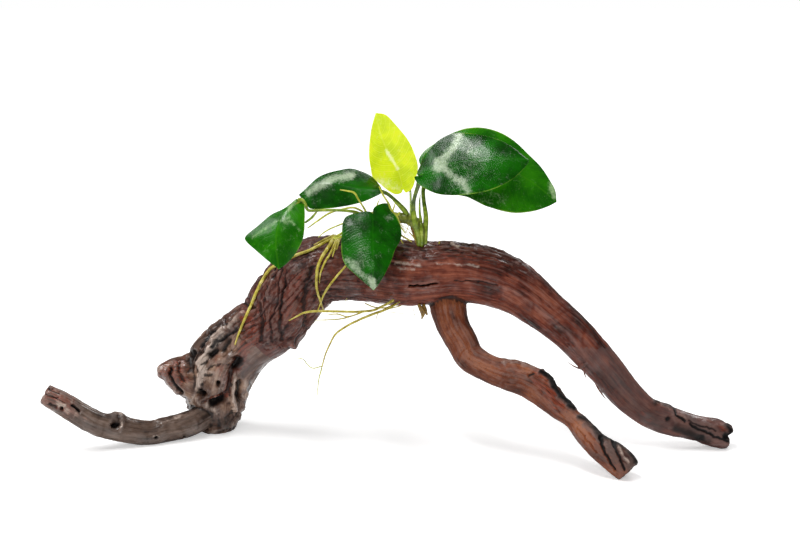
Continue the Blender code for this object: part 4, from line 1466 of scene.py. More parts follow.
def blade_mesh(name, spec, seed):
    """A blade as one closed sheet whose two sides share the rim."""
    places, shares, millimetres = blade_middle(spec, seed)
    rows, columns = places.shape[:2]
    up = grid_normals(places)
    edge = np.sqrt(np.clip(1.0 - shares[..., 1:] ** 2, 0.0, 1.0)) ** 0.35
    edge[0] = 0.0
    edge[-1] = 0.0
    keel = 0.62 * np.exp(-(millimetres[..., 1:] / 0.85) ** 2) * (1.0 - 0.8 * shares[..., :1]) * edge
    veins = vein_height(shares, millimetres)[..., None] * edge
    upper = places + up * (edge * BLADE_THICK / 2 + veins)
    under = places - up * (edge * BLADE_THICK / 2 + keel - 0.4 * veins)
    inner = np.zeros((rows, columns), bool)
    inner[1:-1, 1:-1] = True
    top = np.arange(rows * columns).reshape(rows, columns)
    low = top.copy()
    low[inner] = rows * columns + np.arange(inner.sum())

    def quads(index):
        corners = (index[:-1, :-1], index[:-1, 1:], index[1:, 1:], index[1:, :-1])
        return np.stack(corners, axis=-1).reshape(-1, 4)

    faces = np.vstack((quads(top), quads(low)[:, ::-1]))
    joined = np.where(inner[..., None], upper, places)
    vertices = np.vstack((joined.reshape(-1, 3), under[inner]))

    def both(values):
        return np.concatenate((values.reshape(rows * columns, -1), values[inner]))

    side_of_leaf = np.concatenate((np.where(inner, 0.0, 0.5).ravel(), np.ones(inner.sum())))
    on_blade = both(np.concatenate((millimetres, shares[..., 1:]), axis=-1))
    shows_at = on_sheet(vertices)
    # painted highlight: how strongly the pale sheen strokes touch each point
    film = sum(
        strength * np.exp(-(gap_to_line(points, *shows_at) / width) ** 2)
        for points, width, strength in spec["film"]
    )
    marks = {"on_blade": on_blade, "under": side_of_leaf, "painted_sheen": np.clip(film, 0.0, 1.0)}
    blade = mesh_object("leaf_blade_" + name, vertices, faces, marks)
    spread = np.stack((both(shares[..., 1:])[:, 0] / 2 + 0.5, both(shares[..., :1])[:, 0]), axis=1)
    corners = read_off(blade.data.loops, "vertex_index", 1, np.int32)[:, 0]
    card = blade.data.uv_layers.new(name="blade")
    card.data.foreach_set("uv", spread[corners].astype(np.float32).ravel())
    return blade


blades = {name: blade_mesh(name, spec, 200 + 7 * k) for k, (name, spec) in enumerate(BLADES.items())}
print("blades:", ", ".join(blades))

# %% [markdown]
# ## Leaf finishes
# Old leaves are deep green with a waxy gloss, and the new leaf is thin and yellow-green, so that
# light shines through it. All show the same net of veins, which is one shared group. It works on
# millimetres along and across the blade, so a long leaf has more veins and not longer ones. Where
# the strokes of the blade table say so, a pale sheen is painted on the upper side as its
# highlight.

# %% Group: leaf veins


def leaf_veins_group():
    """Side veins and a fine net from the place on the blade: along, across, share of the half width."""
    bench, given, result = open_group(
        "leaf_veins", "ShaderNodeTree",
        {"On Blade": ("Vector", (0.0, 0.0, 0.0)), "Gap": VEIN_GAP, "Sweep": VEIN_SWEEP},
        {"Midrib": "Float", "Veins": "Float", "Net": "Float", "Rim": "Float"},
    )
    parts = bench.add("ShaderNodeSeparateXYZ", {0: given["On Blade"]}, out=None).outputs
    across = bench.math("ABSOLUTE", parts["Y"])
    share = bench.math("ABSOLUTE", parts["Z"])
    swept = bench.times(bench.math("POWER", share, 1.35), given["Sweep"])
    phase = bench.over(bench.minus(parts["X"], swept), given["Gap"])

    def lines(thinner, width):
        """Lines where the phase, taken several times as fast, passes a whole number."""
        turn = bench.times(phase, thinner)
        gap = bench.math("ABSOLUTE", bench.minus(bench.math("FRACT", turn), 0.5))
        return bench.between(gap, 0.5 - width, 0.5)

    away = bench.between(across, 0.4, 1.6)
    on_blade = {"Vector": given["On Blade"], "Scale": 1.1}
    cells = bench.add("ShaderNodeTexVoronoi", on_blade, "Distance", feature="DISTANCE_TO_EDGE")
    bench.feed(result["Midrib"], bench.between(across, 0.25, 0.75, 1.0, 0.0))
    both_widths = bench.math("MAXIMUM", lines(1.0, 0.10), bench.times(lines(3.0, 0.22), 0.45))
    bench.feed(result["Veins"], bench.times(away, both_widths))
    bench.feed(result["Net"], bench.between(cells, 0.0, 0.12, 1.0, 0.0))
    bench.feed(result["Rim"], bench.between(share, 0.955, 0.995))
    return bench.tree


leaf_veins = leaf_veins_group()

# %% Leaf finish
# glow: light that spreads inside the leaf. shine: a little light of its own, which stands for the
# light that passes through a thin leaf. veins: how pale the veins are. wax: how much of the skin
# is waxed. gloss: roughness of the wax.
LEAF_FINISHES = {
    "dark_leaf": dict(
        deep=paint(4, 52, 0), green=paint(16, 94, 0), vein=paint(36, 118, 8),
        rim=paint(120, 160, 46), under=paint(66, 128, 36), painted_sheen=paint(190, 206, 176),
        glow=0.04, shine=0.0, veins=0.10, wax=0.62, gloss=0.20,
    ),
    "mid_leaf": dict(
        deep=paint(14, 84, 0), green=paint(40, 122, 0), vein=paint(70, 142, 14),
        rim=paint(140, 176, 56), under=paint(76, 138, 40), painted_sheen=paint(176, 206, 150),
        glow=0.06, shine=0.0, veins=0.14, wax=0.58, gloss=0.22,
    ),
    "new_leaf": dict(
        deep=paint(190, 208, 8), green=paint(220, 232, 24), vein=paint(234, 240, 96),
        rim=paint(236, 242, 130), under=paint(214, 230, 60), painted_sheen=paint(246, 250, 196),
        glow=0.30, shine=0.30, veins=0.35, wax=0.5, gloss=0.32,
    ),
}


def leaf_colour(bench, look, place, veins, net, midrib, rim):
    """The colour of both sides of a leaf, with its veins, flecks, rim and painted highlight."""
    cloud = bench.noise(place, 90.0, 3.0, 0.55)
    colour = bench.blend(bench.between(cloud, 0.34, 0.66), look["deep"], look["green"])
    pale = bench.math("MAXIMUM", bench.times(veins, look["veins"]), bench.times(net, 0.08))
    pale = bench.math("MAXIMUM", pale, bench.times(midrib, 0.25))
    colour = bench.blend(pale, colour, look["vein"])
    fleck = bench.noise(place, 700.0, 2.0, 0.5)
    colour = bench.blend(bench.between(fleck, 0.66, 0.74, 0.0, 0.35), colour, look["vein"])
    patchy_rim = bench.times(rim, bench.between(cloud, 0.42, 0.6, 0.1, 0.8))
    colour = bench.blend(patchy_rim, colour, look["rim"])
    under = bench.attribute("under")
    beneath = bench.blend(bench.times(veins, 0.25), look["under"], look["vein"])
    colour = bench.blend(bench.between(under, 0.55, 0.95), colour, beneath)
    grit = bench.plus(bench.unrest(0.30, place, 900.0, 5.0, 0.75), bench.unrest(0.18, place, 200.0))
    # painted highlight: the upper side turns towards a pale sheen where the strokes lie
    painted_sheen = bench.between(bench.plus(bench.attribute("painted_sheen"), grit), 0.15, 1.25, 0.0, 0.72)
    on_top = bench.between(under, 0.4, 0.9, 1.0, 0.0)
    return bench.blend(bench.times(painted_sheen, on_top), colour, look["painted_sheen"])


def leaf_finish(name, look):
    finish, bench, shader = new_finish(name)
    on_blade = {"On Blade": bench.attribute("on_blade", "Vector")}
    midrib, veins, net, rim = bench.group(leaf_veins, on_blade, "Midrib", "Veins", "Net", "Rim")
    place = bench.add("ShaderNodeTexCoord", out="Object")
    colour = leaf_colour(bench, look, place, veins, net, midrib, rim)
    (film,) = bench.group(water_film, {"Place": place, "Size": 14.0, "Cover": look["wax"]}, "Film")
    bench.dress(shader, {
        "Base Color": colour,
        "Roughness": bench.between(film, 0.0, 1.0, look["gloss"] + 0.06, look["gloss"]),
        "Coat Weight": 0.15,
        "Coat Roughness": 0.14,
        "Specular IOR Level": 0.22,
        "Emission Color": colour,
        "Emission Strength": look["shine"],
        "Subsurface Weight": look["glow"],
        "Subsurface Radius": (0.6, 1.0, 0.2),
        "Subsurface Scale": 0.0012,
    })
    relief = bench.plus(bench.times(veins, -0.6), bench.times(net, -0.25))
    grainy = bench.times(bench.noise(place, 1100.0, 2.0, 0.6), bench.between(film, 0.0, 1.0, 1.6, 0.3))
    relief = bench.plus(relief, bench.plus(bench.noise(place, 260.0, 2.0, 0.5), grainy))
    bench.feed(shader.inputs["Normal"], bench.bump(relief, 0.25, 0.0003))
    return finish


leaf_finishes = {name: leaf_finish(name, look) for name, look in LEAF_FINISHES.items()}
# blade: finish, slot
BLADE_LOOKS = {
    "front_right": ("dark_leaf", "leaf"),
    "rear_right": ("mid_leaf", "leaf"),
    "young": ("new_leaf", "young_leaf"),
    "rear_left": ("dark_leaf", "leaf"),
    "far_left": ("mid_leaf", "leaf"),
    "front_middle": ("dark_leaf", "leaf"),
}
for name, (finish, slot) in BLADE_LOOKS.items():
    settle(blades[name], leaf_finishes[finish], slot, "leaf_blade_" + name)

# %% [markdown]
# ## Stems, stalks and roots as grown tubes
# The creeping stem, the leaf stalks and the roots are all tubes along a path. A curve with a bevel
# would do for one of them, but dozens of roots want one rule. So each run becomes a mesh of loose
# edges that carries its thickness, and one Geometry Nodes tree sweeps a ring along it and adds
# sway, knobs and rings by named inputs. A second tree plants fine hairs along the same runs.

# %% Paths with a thickness
PATH_STEP = 0.6
END_ROUNDING = np.array([0.02, 0.1, 0.3, 0.6])
BLUNT_END = 0.03


def evenly(rows, step=PATH_STEP):
    """Rows of places and half thickness, evenly spaced in millimetres and rounded off at both ends."""
    length = length_so_far(rows[:, :3])
    count = max(int(length[-1] / step), 4)
    marks = np.concatenate((
        np.linspace(0.0, length[-1], count + 1),
        END_ROUNDING * rows[0, 3],
        length[-1] - END_ROUNDING * rows[-1, 3],
    ))
    marks = np.unique(np.clip(marks, 0.0, length[-1]).round(4))
    even = np.stack([np.interp(marks, length, column) for column in rows.T], axis=1)
    for end_gap in (marks / rows[0, 3], (length[-1] - marks) / rows[-1, 3]):
        round_end = np.sqrt(1.0 - (1.0 - np.clip(end_gap, 0.0, 1.0)) ** 2)
        even[:, 3] *= round_end * (1.0 - BLUNT_END) + BLUNT_END
    return even


def path(stations, step=PATH_STEP):
    """An even path through (across, up, back, half thickness) stations of the sheet."""
    run = smooth_run(stations, 16)
    places, scale = seen(run[:, :3])
    return evenly(np.column_stack((places, run[:, 3] * scale)), step)


def path_object(name, runs):
    """Loose edges along several paths, with half thickness and length so far in millimetres."""
    rows = np.vstack(runs)
    starts = np.cumsum([0] + [len(run) for run in runs])
    edges = [(k, k + 1) for start, end in zip(starts, starts[1:]) for k in range(start, end - 1)]
    along = np.concatenate([length_so_far(run[:, :3]) for run in runs])
    mesh = bpy.data.meshes.new(name)
    mesh.from_pydata((rows[:, :3] * MM).tolist(), edges, [])
    for key, values in (("thick", rows[:, 3]), ("along", along)):
        layer = mesh.attributes.new(key, "FLOAT", "POINT")
        layer.data.foreach_set("value", values.astype(np.float32))
    return placed(name, mesh)


# %% Tree: a tube on a path


def smooth_and_finished(bench, given, result, mesh):
    """The last nodes of a tree: shade the mesh smooth and give it its finish."""
    mesh = bench.shape("SetShadeSmooth", {"Geometry": mesh})
    mesh = bench.shape("SetMaterial", {"Geometry": mesh, "Material": given["Finish"]})
    bench.feed(result["Geometry"], mesh)
    return bench.tree


def tube_tree():
    bench, given, result = open_group(
        "tube_on_a_path", "GeometryNodeTree",
        {
            "Geometry": ("Geometry", None), "Sides": ("Int", 10), "Sway": 0.0, "Sway Size": 6.0,
            "Knobs": 0.1, "Knob Size": 1.2, "Rings": 0.0, "Ring Gap": 3.0, "Seed": 0.0,
            "Finish": ("Material", None),
        },
        {"Geometry": "Geometry"},
    )

    def named(name):
        return bench.shape("InputNamedAttribute", {"Name": name}, "Attribute", data_type="FLOAT")

    def noise_at(size):
        """Noise whose cells are size millimetres wide, moved to another place by the seed."""
        place = bench.shape("InputPosition")
        inputs = {"Vector": place, "W": given["Seed"], "Scale": bench.over(1.0 / MM, size), "Detail": 2.0}
        return bench.add("ShaderNodeTexNoise", inputs, None, noise_dimensions="4D").outputs

    def scaled(vector, factor):
        return bench.add("ShaderNodeVectorMath", {0: vector, 3: factor}, operation="SCALE")

    thick = named("thick")
    course = bench.shape("MeshToCurve", {"Mesh": given["Geometry"]})
    wander = bench.vector("SUBTRACT", noise_at(given["Sway Size"])["Color"], (0.5, 0.5, 0.5))
    wander = scaled(wander, bench.times(given["Sway"], MM))
    course = bench.shape("SetPosition", {"Geometry": course, "Offset": wander})
    circle = {"Resolution": given["Sides"], "Radius": MM}
    ring = bench.shape("CurvePrimitiveCircle", circle, mode="RADIUS")
    swept = {"Curve": course, "Profile Curve": ring, "Scale": thick, "Fill Caps": True}
    tube = bench.shape("CurveToMesh", swept)
    knob = bench.times(bench.minus(noise_at(given["Knob Size"])["Fac"], 0.5), given["Knobs"])
    turn = bench.math("FRACT", bench.over(named("along"), given["Ring Gap"]))
    scar = bench.times(bench.math("POWER", turn, 5.0), given["Rings"])
    rise = bench.times(bench.plus(knob, scar), bench.times(thick, MM))
    push = scaled(bench.shape("InputNormal"), rise)
    tube = bench.shape("SetPosition", {"Geometry": tube, "Offset": push})
    return smooth_and_finished(bench, given, result, tube)


tube_on_a_path = tube_tree()
print("tree:", tube_on_a_path.name, len(tube_on_a_path.nodes), "nodes")

# %% Tree: hairs along a path


def hair_tree():
    bench, given, result = open_group(
        "hairs_on_a_path", "GeometryNodeTree",
        {
            "Geometry": ("Geometry", None), "Gap": 2.0, "Length": 4.0, "Thickness": 0.07,
            "Seed": ("Int", 0), "Finish": ("Material", None),
        },
        {"Geometry": "Geometry"},
    )
    course = bench.shape("MeshToCurve", {"Mesh": given["Geometry"]})
    spacing = bench.times(given["Gap"], MM)
    roots = bench.shape("CurveToPoints", {"Curve": course, "Length": spacing}, None, mode="LENGTH")
    place, facing = (roots.outputs[key] for key in ("Points", "Rotation"))
    reach = bench.times(given["Length"], MM)
    middle = bench.add("ShaderNodeCombineXYZ", {"X": bench.times(reach, 0.5)})
    end = bench.add("ShaderNodeCombineXYZ", {"X": reach, "Z": bench.times(reach, 0.45)})
    bend = {"Resolution": 8, "Start": (0.0, 0.0, 0.0), "Middle": middle, "End": end}
    bow = bench.shape("CurveQuadraticBezier", bend)
    circle = {"Resolution": 5, "Radius": bench.times(given["Thickness"], MM)}
    ring = bench.shape("CurvePrimitiveCircle", circle, mode="RADIUS")
    share = bench.shape("SplineParameter", out="Factor")
    taper = bench.minus(1.0, bench.times(share, 0.75))
    swept = {"Curve": bow, "Profile Curve": ring, "Scale": taper, "Fill Caps": True}
    hair = bench.shape("CurveToMesh", swept)

    def chance(low, high, seed):
        seeded = {2: low, 3: high, "Seed": bench.plus(given["Seed"], seed)}
        return bench.add("FunctionNodeRandomValue", seeded, 1, data_type="FLOAT")

    around = {"Axis": (0.0, 0.0, 1.0), "Angle": chance(0.0, math.tau, 1)}
    spin = bench.add("FunctionNodeAxisAngleToRotation", around)
    turns = {"Rotation": facing, "Rotate By": spin}
    turned = bench.add("FunctionNodeRotateRotation", turns, rotation_space="LOCAL")
    planting = {"Points": place, "Instance": hair, "Rotation": turned, "Scale": chance(0.35, 1.0, 2)}
    planted = bench.shape("InstanceOnPoints", planting)
    made = bench.shape("RealizeInstances", {"Geometry": planted})
    return smooth_and_finished(bench, given, result, made)


hairs_on_a_path = hair_tree()
print("tree:", hairs_on_a_path.name, len(hairs_on_a_path.nodes), "nodes")

# %% Grow a piece


def grown(name, runs, tree, finish, **values):
    """Grow a tree along paths and keep what it makes as a plain mesh object at the origin."""
    source = path_object(name + "_path", runs)
    live = source.modifiers.new("grow", "NODES")
    live.node_group = tree
    values = {"Finish": finish} | {key.replace("_", " "): value for key, value in values.items()}
    for socket in tree.interface.items_tree:
        if socket.in_out == "INPUT" and socket.name in values:
            live[socket.identifier] = values[socket.name]
    scene_now = bpy.context.evaluated_depsgraph_get()
    mesh = bpy.data.meshes.new_from_object(
        source.evaluated_get(scene_now), preserve_all_data_layers=True, depsgraph=scene_now,
    )
    mesh.name = name
    bpy.data.objects.remove(source, do_unlink=True)
    return placed(name, mesh)


# %% [markdown]
# ## Plant finishes
# Stalks are fresh green and paler where the sheath clasps the stem, the creeping stem is olive
# with brown scars, and roots run from cream to yellow-green with brown tips. All of them, and the
# splinters of the wood, are one kind of finish, a mottle between three pigments, so one function
# makes them. A last helper grows a piece in such a finish and settles it.

# %% Stem and root finishes
# three pigments from dark to light, roughness, cover of the water film
STEM_FINISHES = {
    "stalk_green": (paint(66, 92, 10), paint(128, 152, 34), paint(190, 202, 90), 0.36, 0.5),
    "stalk_dark": (paint(32, 54, 4), paint(72, 98, 16), paint(132, 150, 50), 0.34, 0.5),
    "stem_olive": (paint(40, 46, 8), paint(104, 114, 30), paint(168, 172, 84), 0.45, 0.45),
    "root_yellow": (paint(136, 112, 32), paint(190, 176, 66), paint(226, 212, 132), 0.48, 0.4),
    "root_green": (paint(136, 142, 24), paint(188, 190, 56), paint(226, 222, 128), 0.45, 0.4),
    "splinter_red": (paint(70, 30, 18), paint(120, 60, 36), paint(168, 108, 66), 0.6, 0.3),
    "root_brown": (paint(84, 56, 28), paint(140, 108, 48), paint(176, 150, 76), 0.5, 0.4),
}


def stem_finish(name, dark, middle, light, roughness, film_cover):
    finish, bench, shader = new_finish(name)
    place = bench.add("ShaderNodeTexCoord", out="Object")
    along = bench.attribute("along")
    band = bench.noise(bench.add("ShaderNodeCombineXYZ", {"X": bench.times(along, 0.22)}), 1.0, 3.0, 0.6)
    cloud = bench.noise(place, 420.0, 4.0, 0.6)
    tone = bench.plus(bench.times(band, 0.6), bench.times(cloud, 0.4))
    (film,) = bench.group(water_film, {"Place": place, "Size": 5.0, "Cover": film_cover}, "Film")
    bench.dress(shader, {
        "Base Color": bench.colours(tone, [(0.34, dark), (0.66, light), (0.50, middle)]),
        "Roughness": roughness,
        "Coat Weight": bench.times(film, 0.6),
        "Coat Roughness": 0.12,
        "Subsurface Weight": 0.15,
        "Subsurface Radius": (0.9, 1.0, 0.3),
        "Subsurface Scale": 0.0010,
        "Normal": bench.bump(cloud, 0.3, 0.0003),
    })
    return finish


stem_finishes = {name: stem_finish(name, *look) for name, look in STEM_FINISHES.items()}
print("stem finishes:", ", ".join(stem_finishes))


def plant_piece(name, runs, finish, slot, *solids, tree=tube_on_a_path, **values):
    """Grow a piece of the plant along its runs and settle it."""
    piece = grown(name, runs, tree, stem_finishes[finish], **values)
    settle(piece, stem_finishes[finish], slot, *solids)


# %% [markdown]
# ## Creeping stem
# The stem sits on top of the arch, bends over and runs to the left, nearly as thick as a pencil.
# Every fallen leaf has left a ring round it, and pale sheaths of young stalks clasp its bend. The
# stem is one knobbly tube with rings, and the sheaths are short tubes, most of which narrow.

# %% Stem with its scars and sheaths
# across, up, back, half thickness
RHIZOME = [
    (18.9, 98, 3, 2.3), (18.8, 103, 2.8, 2.5), (18, 108, 2.4, 2.9), (15.4, 112, 1.2, 2.9),
    (11.5, 114.2, 0.4, 2.7), (7, 114.6, 0, 2.6), (-1, 115, -2.5, 2.4), (-9, 115.6, -4.5, 2.1),
    (-16, 115.4, -6.5, 1.6),
]
SHEATHS = [
    [
        (20.6, 98, 1.2, 1), (20.7, 104, 1.6, 1.15), (20.9, 110, 2.6, 1.2), (21, 115, 4.4, 1.1),
        (20.2, 120.5, 6.2, 0.9),
    ],
    [
        (17.4, 100, 0.2, 1), (17.2, 104, -0.6, 1.2), (16.2, 109, -1.4, 1.5), (15.2, 113.6, -1.6, 1.5),
        (14.7, 119, -1.3, 1.1),
    ],
    [(19, 100, -0.2, 0.9), (18.9, 105, -0.8, 1), (18.6, 109.5, -0.6, 0.9), (18.2, 112.6, 0.4, 0.25)],
    [(18.6, 112, 2.6, 0.8), (17.9, 117, 4.4, 0.6), (17.8, 122, 6.2, 0.45), (18.1, 126.4, 7.4, 0.15)],
    [(13.4, 112.5, 3, 0.8), (13.4, 116, 5.5, 0.7), (13.5, 120, 8.2, 0.6)],
    [(6, 112, -3, 1), (4, 114, -4, 1.2), (1.6, 114.2, -6.6, 1.1), (-1, 113.8, -9.6, 1)],
    [(11.8, 116, -1, 1), (8.6, 119.4, -0.8, 0.8), (5.2, 122.8, -0.6, 0.45), (3.4, 124.6, -0.6, 0.15)],
    [(-39.6, 112, -17.5, 0.5), (-36, 114.8, -17.2, 0.65), (-33.5, 117.8, -17.8, 0.45)],
]

plant_piece(
    "plant_rhizome", [path(RHIZOME)], "stem_olive", "rhizome", "rhizome",
    Sides=28, Sway=0.5, Knobs=0.34, Knob_Size=3.0, Rings=0.13, Ring_Gap=2.7, Seed=3.0,
)
plant_piece(
    "stem_sheaths", [path(run) for run in SHEATHS], "stalk_green", "leaf_stalk",
    Sides=16, Sway=0.3, Knobs=0.16, Knob_Size=2.0, Seed=5.0,
)

# %% [markdown]
# ## Leaf stalks
# A stalk is a round green rod that thickens into a joint just below its blade and then runs into
# the midrib. The stations stop short of the blade, so the last ones are read from the blade
# itself, under its midrib, which keeps stalk and keel in one line however a leaf is turned.

# %% Stalks that run into their blades
# across, up, back, half thickness
STALKS = {
    "front_right": [
        (15, 112, -1, 1.5), (14.6, 117.4, -1.2, 1.25), (14.9, 122.8, -2, 1), (15.7, 126.4, -2.4, 1),
        (17, 130.4, -2.8, 1.1), (17.6, 133.8, -3.1, 1.2),
    ],
    "rear_right": [
        (20.6, 110, 4, 1.3), (20.9, 115.6, 5.4, 1.2), (19.9, 122.8, 6.8, 1), (19.7, 129, 8.4, 1),
        (21.6, 135, 10, 1), (23.2, 137.6, 10.6, 1.1),
    ],
    "young": [
        (13.8, 111.5, 3.5, 0.7), (13.4, 118.5, 7.5, 0.6), (13.3, 124.5, 12, 0.55), (12.8, 129.2, 16, 0.6),
        (10.2, 130.8, 17.6, 0.75),
    ],
    "rear_left": [
        (12.5, 114.5, 0.2, 1), (10.4, 118.6, 0.2, 0.95), (5.9, 123.1, 0.2, 0.9), (2.3, 126.2, -0.2, 0.9),
        (-0.4, 127.5, -0.7, 1),
    ],
    "far_left": [
        (-10, 115.5, -4.5, 0.9), (-15, 117.6, -12, 0.75), (-25, 118.4, -16.5, 0.7),
        (-34, 118.2, -18, 0.7), (-38, 118.4, -18.4, 0.75), (-39.2, 121, -18.6, 0.8),
        (-40.8, 123.4, -18.8, 0.85), (-42.4, 123.8, -19, 0.9),
    ],
    "front_middle": [
        (3, 114, -1.5, 1.1), (0.8, 113.8, -6.5, 1), (-2.6, 113.6, -10.5, 1), (-5, 114.4, -13.2, 1.1),
    ],
}
STALK_FINISH = {"young": "stalk_green", "far_left": "stalk_green"}
# share along the blade, depth under it, half thickness
INTO_BLADE = np.array([(0.0, 1.25, 1.0), (0.05, 1.15, 0.85), (0.12, 0.95, 0.65), (0.22, 0.65, 0.45)])


def stalk_run(name):
    """A stalk's places and thickness, led on under the midrib of its blade."""
    run = smooth_run(STALKS[name], 16)
    places, scale = seen(run[:, :3])
    rod = np.column_stack((places, run[:, 3] * scale))
    centre, face = blade_frame(BLADES[name], INTO_BLADE[:, 0])
    girth = rod[-1, 3] / 1.15
    lead = np.column_stack((centre - face * INTO_BLADE[:, 1:2] * girth, INTO_BLADE[:, 2] * girth))
    return evenly(smooth_run(np.vstack((rod[::8], rod[-1:], lead)), 6), 0.5)


for k, name in enumerate(STALKS):
    plant_piece(
        "stalk_" + name, [stalk_run(name)], STALK_FINISH.get(name, "stalk_dark"),
        "leaf_stalk", "leaf_stalk_" + name,
        Sides=18, Sway=0.2, Knobs=0.07, Knob_Size=4.0, Seed=20.0 + k,
    )

# %% [markdown]
# ## Roots
# Roots leave the underside of the stem. Some lie on the bark, which they hold on to, and others
# hang under the arch or loop through the air. Those on the wood are drawn on the sheet and thrown
# onto the carved skin by a ray, so they follow each groove. The free ones have a depth instead.
# The thinnest ones, the hairs and a few splinters of the right leg are grown in the same way.

# %% Throw a path onto the wood
RAY_REACH = 80.0
wood_surface = BVHTree.FromPolygons(carved_places.tolist(), skin_faces.tolist())


def on_wood(across, up, lift):
    """Where the sheet's line through a point meets the wood, held off it by lift, or nothing."""
    near, far = (Vector(seen([(across, up, back)])[0][0]) for back in (-RAY_REACH, RAY_REACH))
    place, outward, _, _ = wood_surface.ray_cast(near, (far - near).normalized())
    return None if place is None else np.array(place + outward * lift)


def clinging_run(stations):
    """A path on the wood through (across, up, half thickness) stations."""
    rows = []
    for across, up, half in smooth_run(stations, 10):
        place = on_wood(across, up, half * 0.7)
        if place is not None:
            rows.append((*place, half))
    rows = np.array(rows)
    for _ in range(3):
        rows[1:-1, :3] = (rows[:-2, :3] + 2 * rows[1:-1, :3] + rows[2:, :3]) / 4
    return evenly(rows, 0.5)


# %% Roots that lie on the wood
# across, up, half thickness
CLINGING_ROOTS = {
    "root_long_left": [
        [
            (-24, 105.5, 0.7), (-29.5, 102, 0.72), (-36.5, 98.5, 0.75), (-45, 95, 0.75),
            (-55.5, 89.5, 0.85), (-61, 82, 0.9), (-66, 71, 0.8), (-70.5, 61.5, 0.65), (-74.5, 51, 0.35),
        ],
    ],
    "root_middle": [
        [
            (-24.5, 105, 0.9), (-28, 99, 0.95), (-31.5, 93.5, 0.8), (-33.5, 86.5, 0.75),
            (-33.5, 79, 0.65), (-32, 73.5, 0.55), (-30.5, 69, 0.35),
        ],
        [(-23.4, 104.6, 0.6), (-26, 98, 0.6), (-29.4, 92.5, 0.55), (-31.8, 86.5, 0.4), (-32.2, 82, 0.2)],
        [(-22.4, 105.4, 0.6), (-24.2, 100, 0.55), (-25.8, 95, 0.25)],
        [(-21.6, 105, 0.5), (-22.8, 101.5, 0.45), (-23.6, 98.6, 0.2)],
        [(-24, 106.2, 0.5), (-30, 103.4, 0.5), (-35, 100.8, 0.3)],
    ],
    "root_short_right": [
        [(-19, 90.5, 0.5), (-26, 82.5, 0.55), (-30.5, 75.5, 0.5), (-33.5, 67.5, 0.3)],
        [(-18.5, 74.5, 0.2), (-20.6, 71, 0.18), (-22, 68.5, 0.12)],
    ],
}
ROOT_SIZES = {"Sides": 12, "Knob_Size": 1.6}
for k, (name, runs) in enumerate(CLINGING_ROOTS.items()):
    plant_piece(
        name + "_live", [clinging_run(run) for run in runs], "root_yellow", "root", name,
        Sway=0.35, Sway_Size=7.0, Knobs=0.3, Rings=0.06, Ring_Gap=4.3, Seed=40.0 + k, **ROOT_SIZES,
    )

# %% Roots that hang free
# across, up, back, half thickness
FREE_ROOTS = {
    "root_under_arch": [
        [
            (5, 73.5, -9, 0.6), (-1, 70.3, -12.5, 0.6), (-6.5, 68.2, -15.5, 0.62),
            (-17.5, 67.6, -17.5, 0.6), (-32, 68, -17.5, 0.6), (-40, 67, -17, 0.5),
            (-47.5, 63.2, -17.5, 0.25),
        ],
        [
            (-8, 68.4, -15, 0.35), (-15.5, 65.8, -16.5, 0.35), (-22, 64, -17, 0.32),
            (-34.5, 63.4, -17.5, 0.15),
        ],
        [
            (-12, 66.8, -16, 0.3), (-18.5, 65.2, -17, 0.32), (-23.5, 66.5, -18, 0.3),
            (-28.5, 66, -18.5, 0.15),
        ],
    ],
    "root_hanging": [
        [
            (6, 71.5, -8, 0.6), (0.5, 68.6, -10.5, 0.62), (-6, 66.3, -11.5, 0.62),
            (-12, 63.8, -10.5, 0.6), (-18, 60.8, -9.2, 0.55), (-24, 56.6, -9.5, 0.5),
            (-27, 51.5, -11, 0.42), (-29.4, 46, -12.2, 0.36), (-31, 40, -13, 0.3),
        ],
    ],
    "root_hair_long": [
        [
            (-31, 40, -13, 0.3), (-32.4, 34.5, -12.2, 0.24), (-33, 30, -11.4, 0.18),
            (-33.4, 25.6, -11, 0.1),
        ],
        [
            (-30.9, 40.6, -13, 0.24), (-35.5, 39.4, -13.5, 0.22), (-38.4, 41.6, -14, 0.2),
            (-40.4, 44, -14.5, 0.17), (-44.4, 44.6, -15, 0.1),
        ],
    ],
    "root_air_left": [
        [
            (-10.5, 117.6, -8.6, 0.5), (-15, 119.6, -11, 0.5), (-21, 118.8, -11.8, 0.52),
            (-27, 117, -12, 0.5), (-33, 113.2, -12.2, 0.45), (-38.3, 109.4, -12, 0.25),
        ],
        [
            (-12, 113.6, -8, 0.55), (-17, 110, -9.5, 0.55), (-21.5, 106.6, -10, 0.6),
            (-25.5, 104.2, -9.6, 0.6),
        ],
        [
            (-10.5, 113, -8.2, 0.5), (-15, 108, -10.2, 0.5), (-20.5, 105.5, -11.5, 0.5),
            (-25, 103.9, -10.2, 0.45),
        ],
        [(-13, 114, -7, 0.4), (-20, 112, -9, 0.4), (-28, 108.5, -10, 0.35), (-33, 104.8, -9.2, 0.2)],
    ],
    "root_air_right": [
        [
            (-2.4, 130.3, -6.8, 0.3), (-0.2, 125.6, -7.4, 0.48), (2.3, 121.7, -7.4, 0.5),
            (3.7, 118.5, -7.2, 0.5), (6.6, 115, -6.4, 0.5), (8, 110.6, -5.8, 0.45),
            (10.5, 107, -4.6, 0.3),
        ],
        [
            (-8, 115.5, -7, 0.5), (-10, 119.3, -8.2, 0.5), (-12.6, 123.4, -8.8, 0.45),
            (-14.8, 127, -8.8, 0.5), (-18.4, 128, -8.6, 0.4), (-22, 128.6, -8.4, 0.22),
        ],
        [(4.2, 117.8, -6.8, 0.4), (5, 120, -6.4, 0.35), (5.5, 122, -6.2, 0.18)],
        [(6.5, 115.1, -6.2, 0.45), (7.3, 116.6, -5.8, 0.38), (7.8, 117.8, -5.6, 0.2)],
        [(-4, 118.6, -6.4, 0.35), (-3.2, 121.6, -6.6, 0.3), (-2, 124.2, -6, 0.12)],
    ],
}
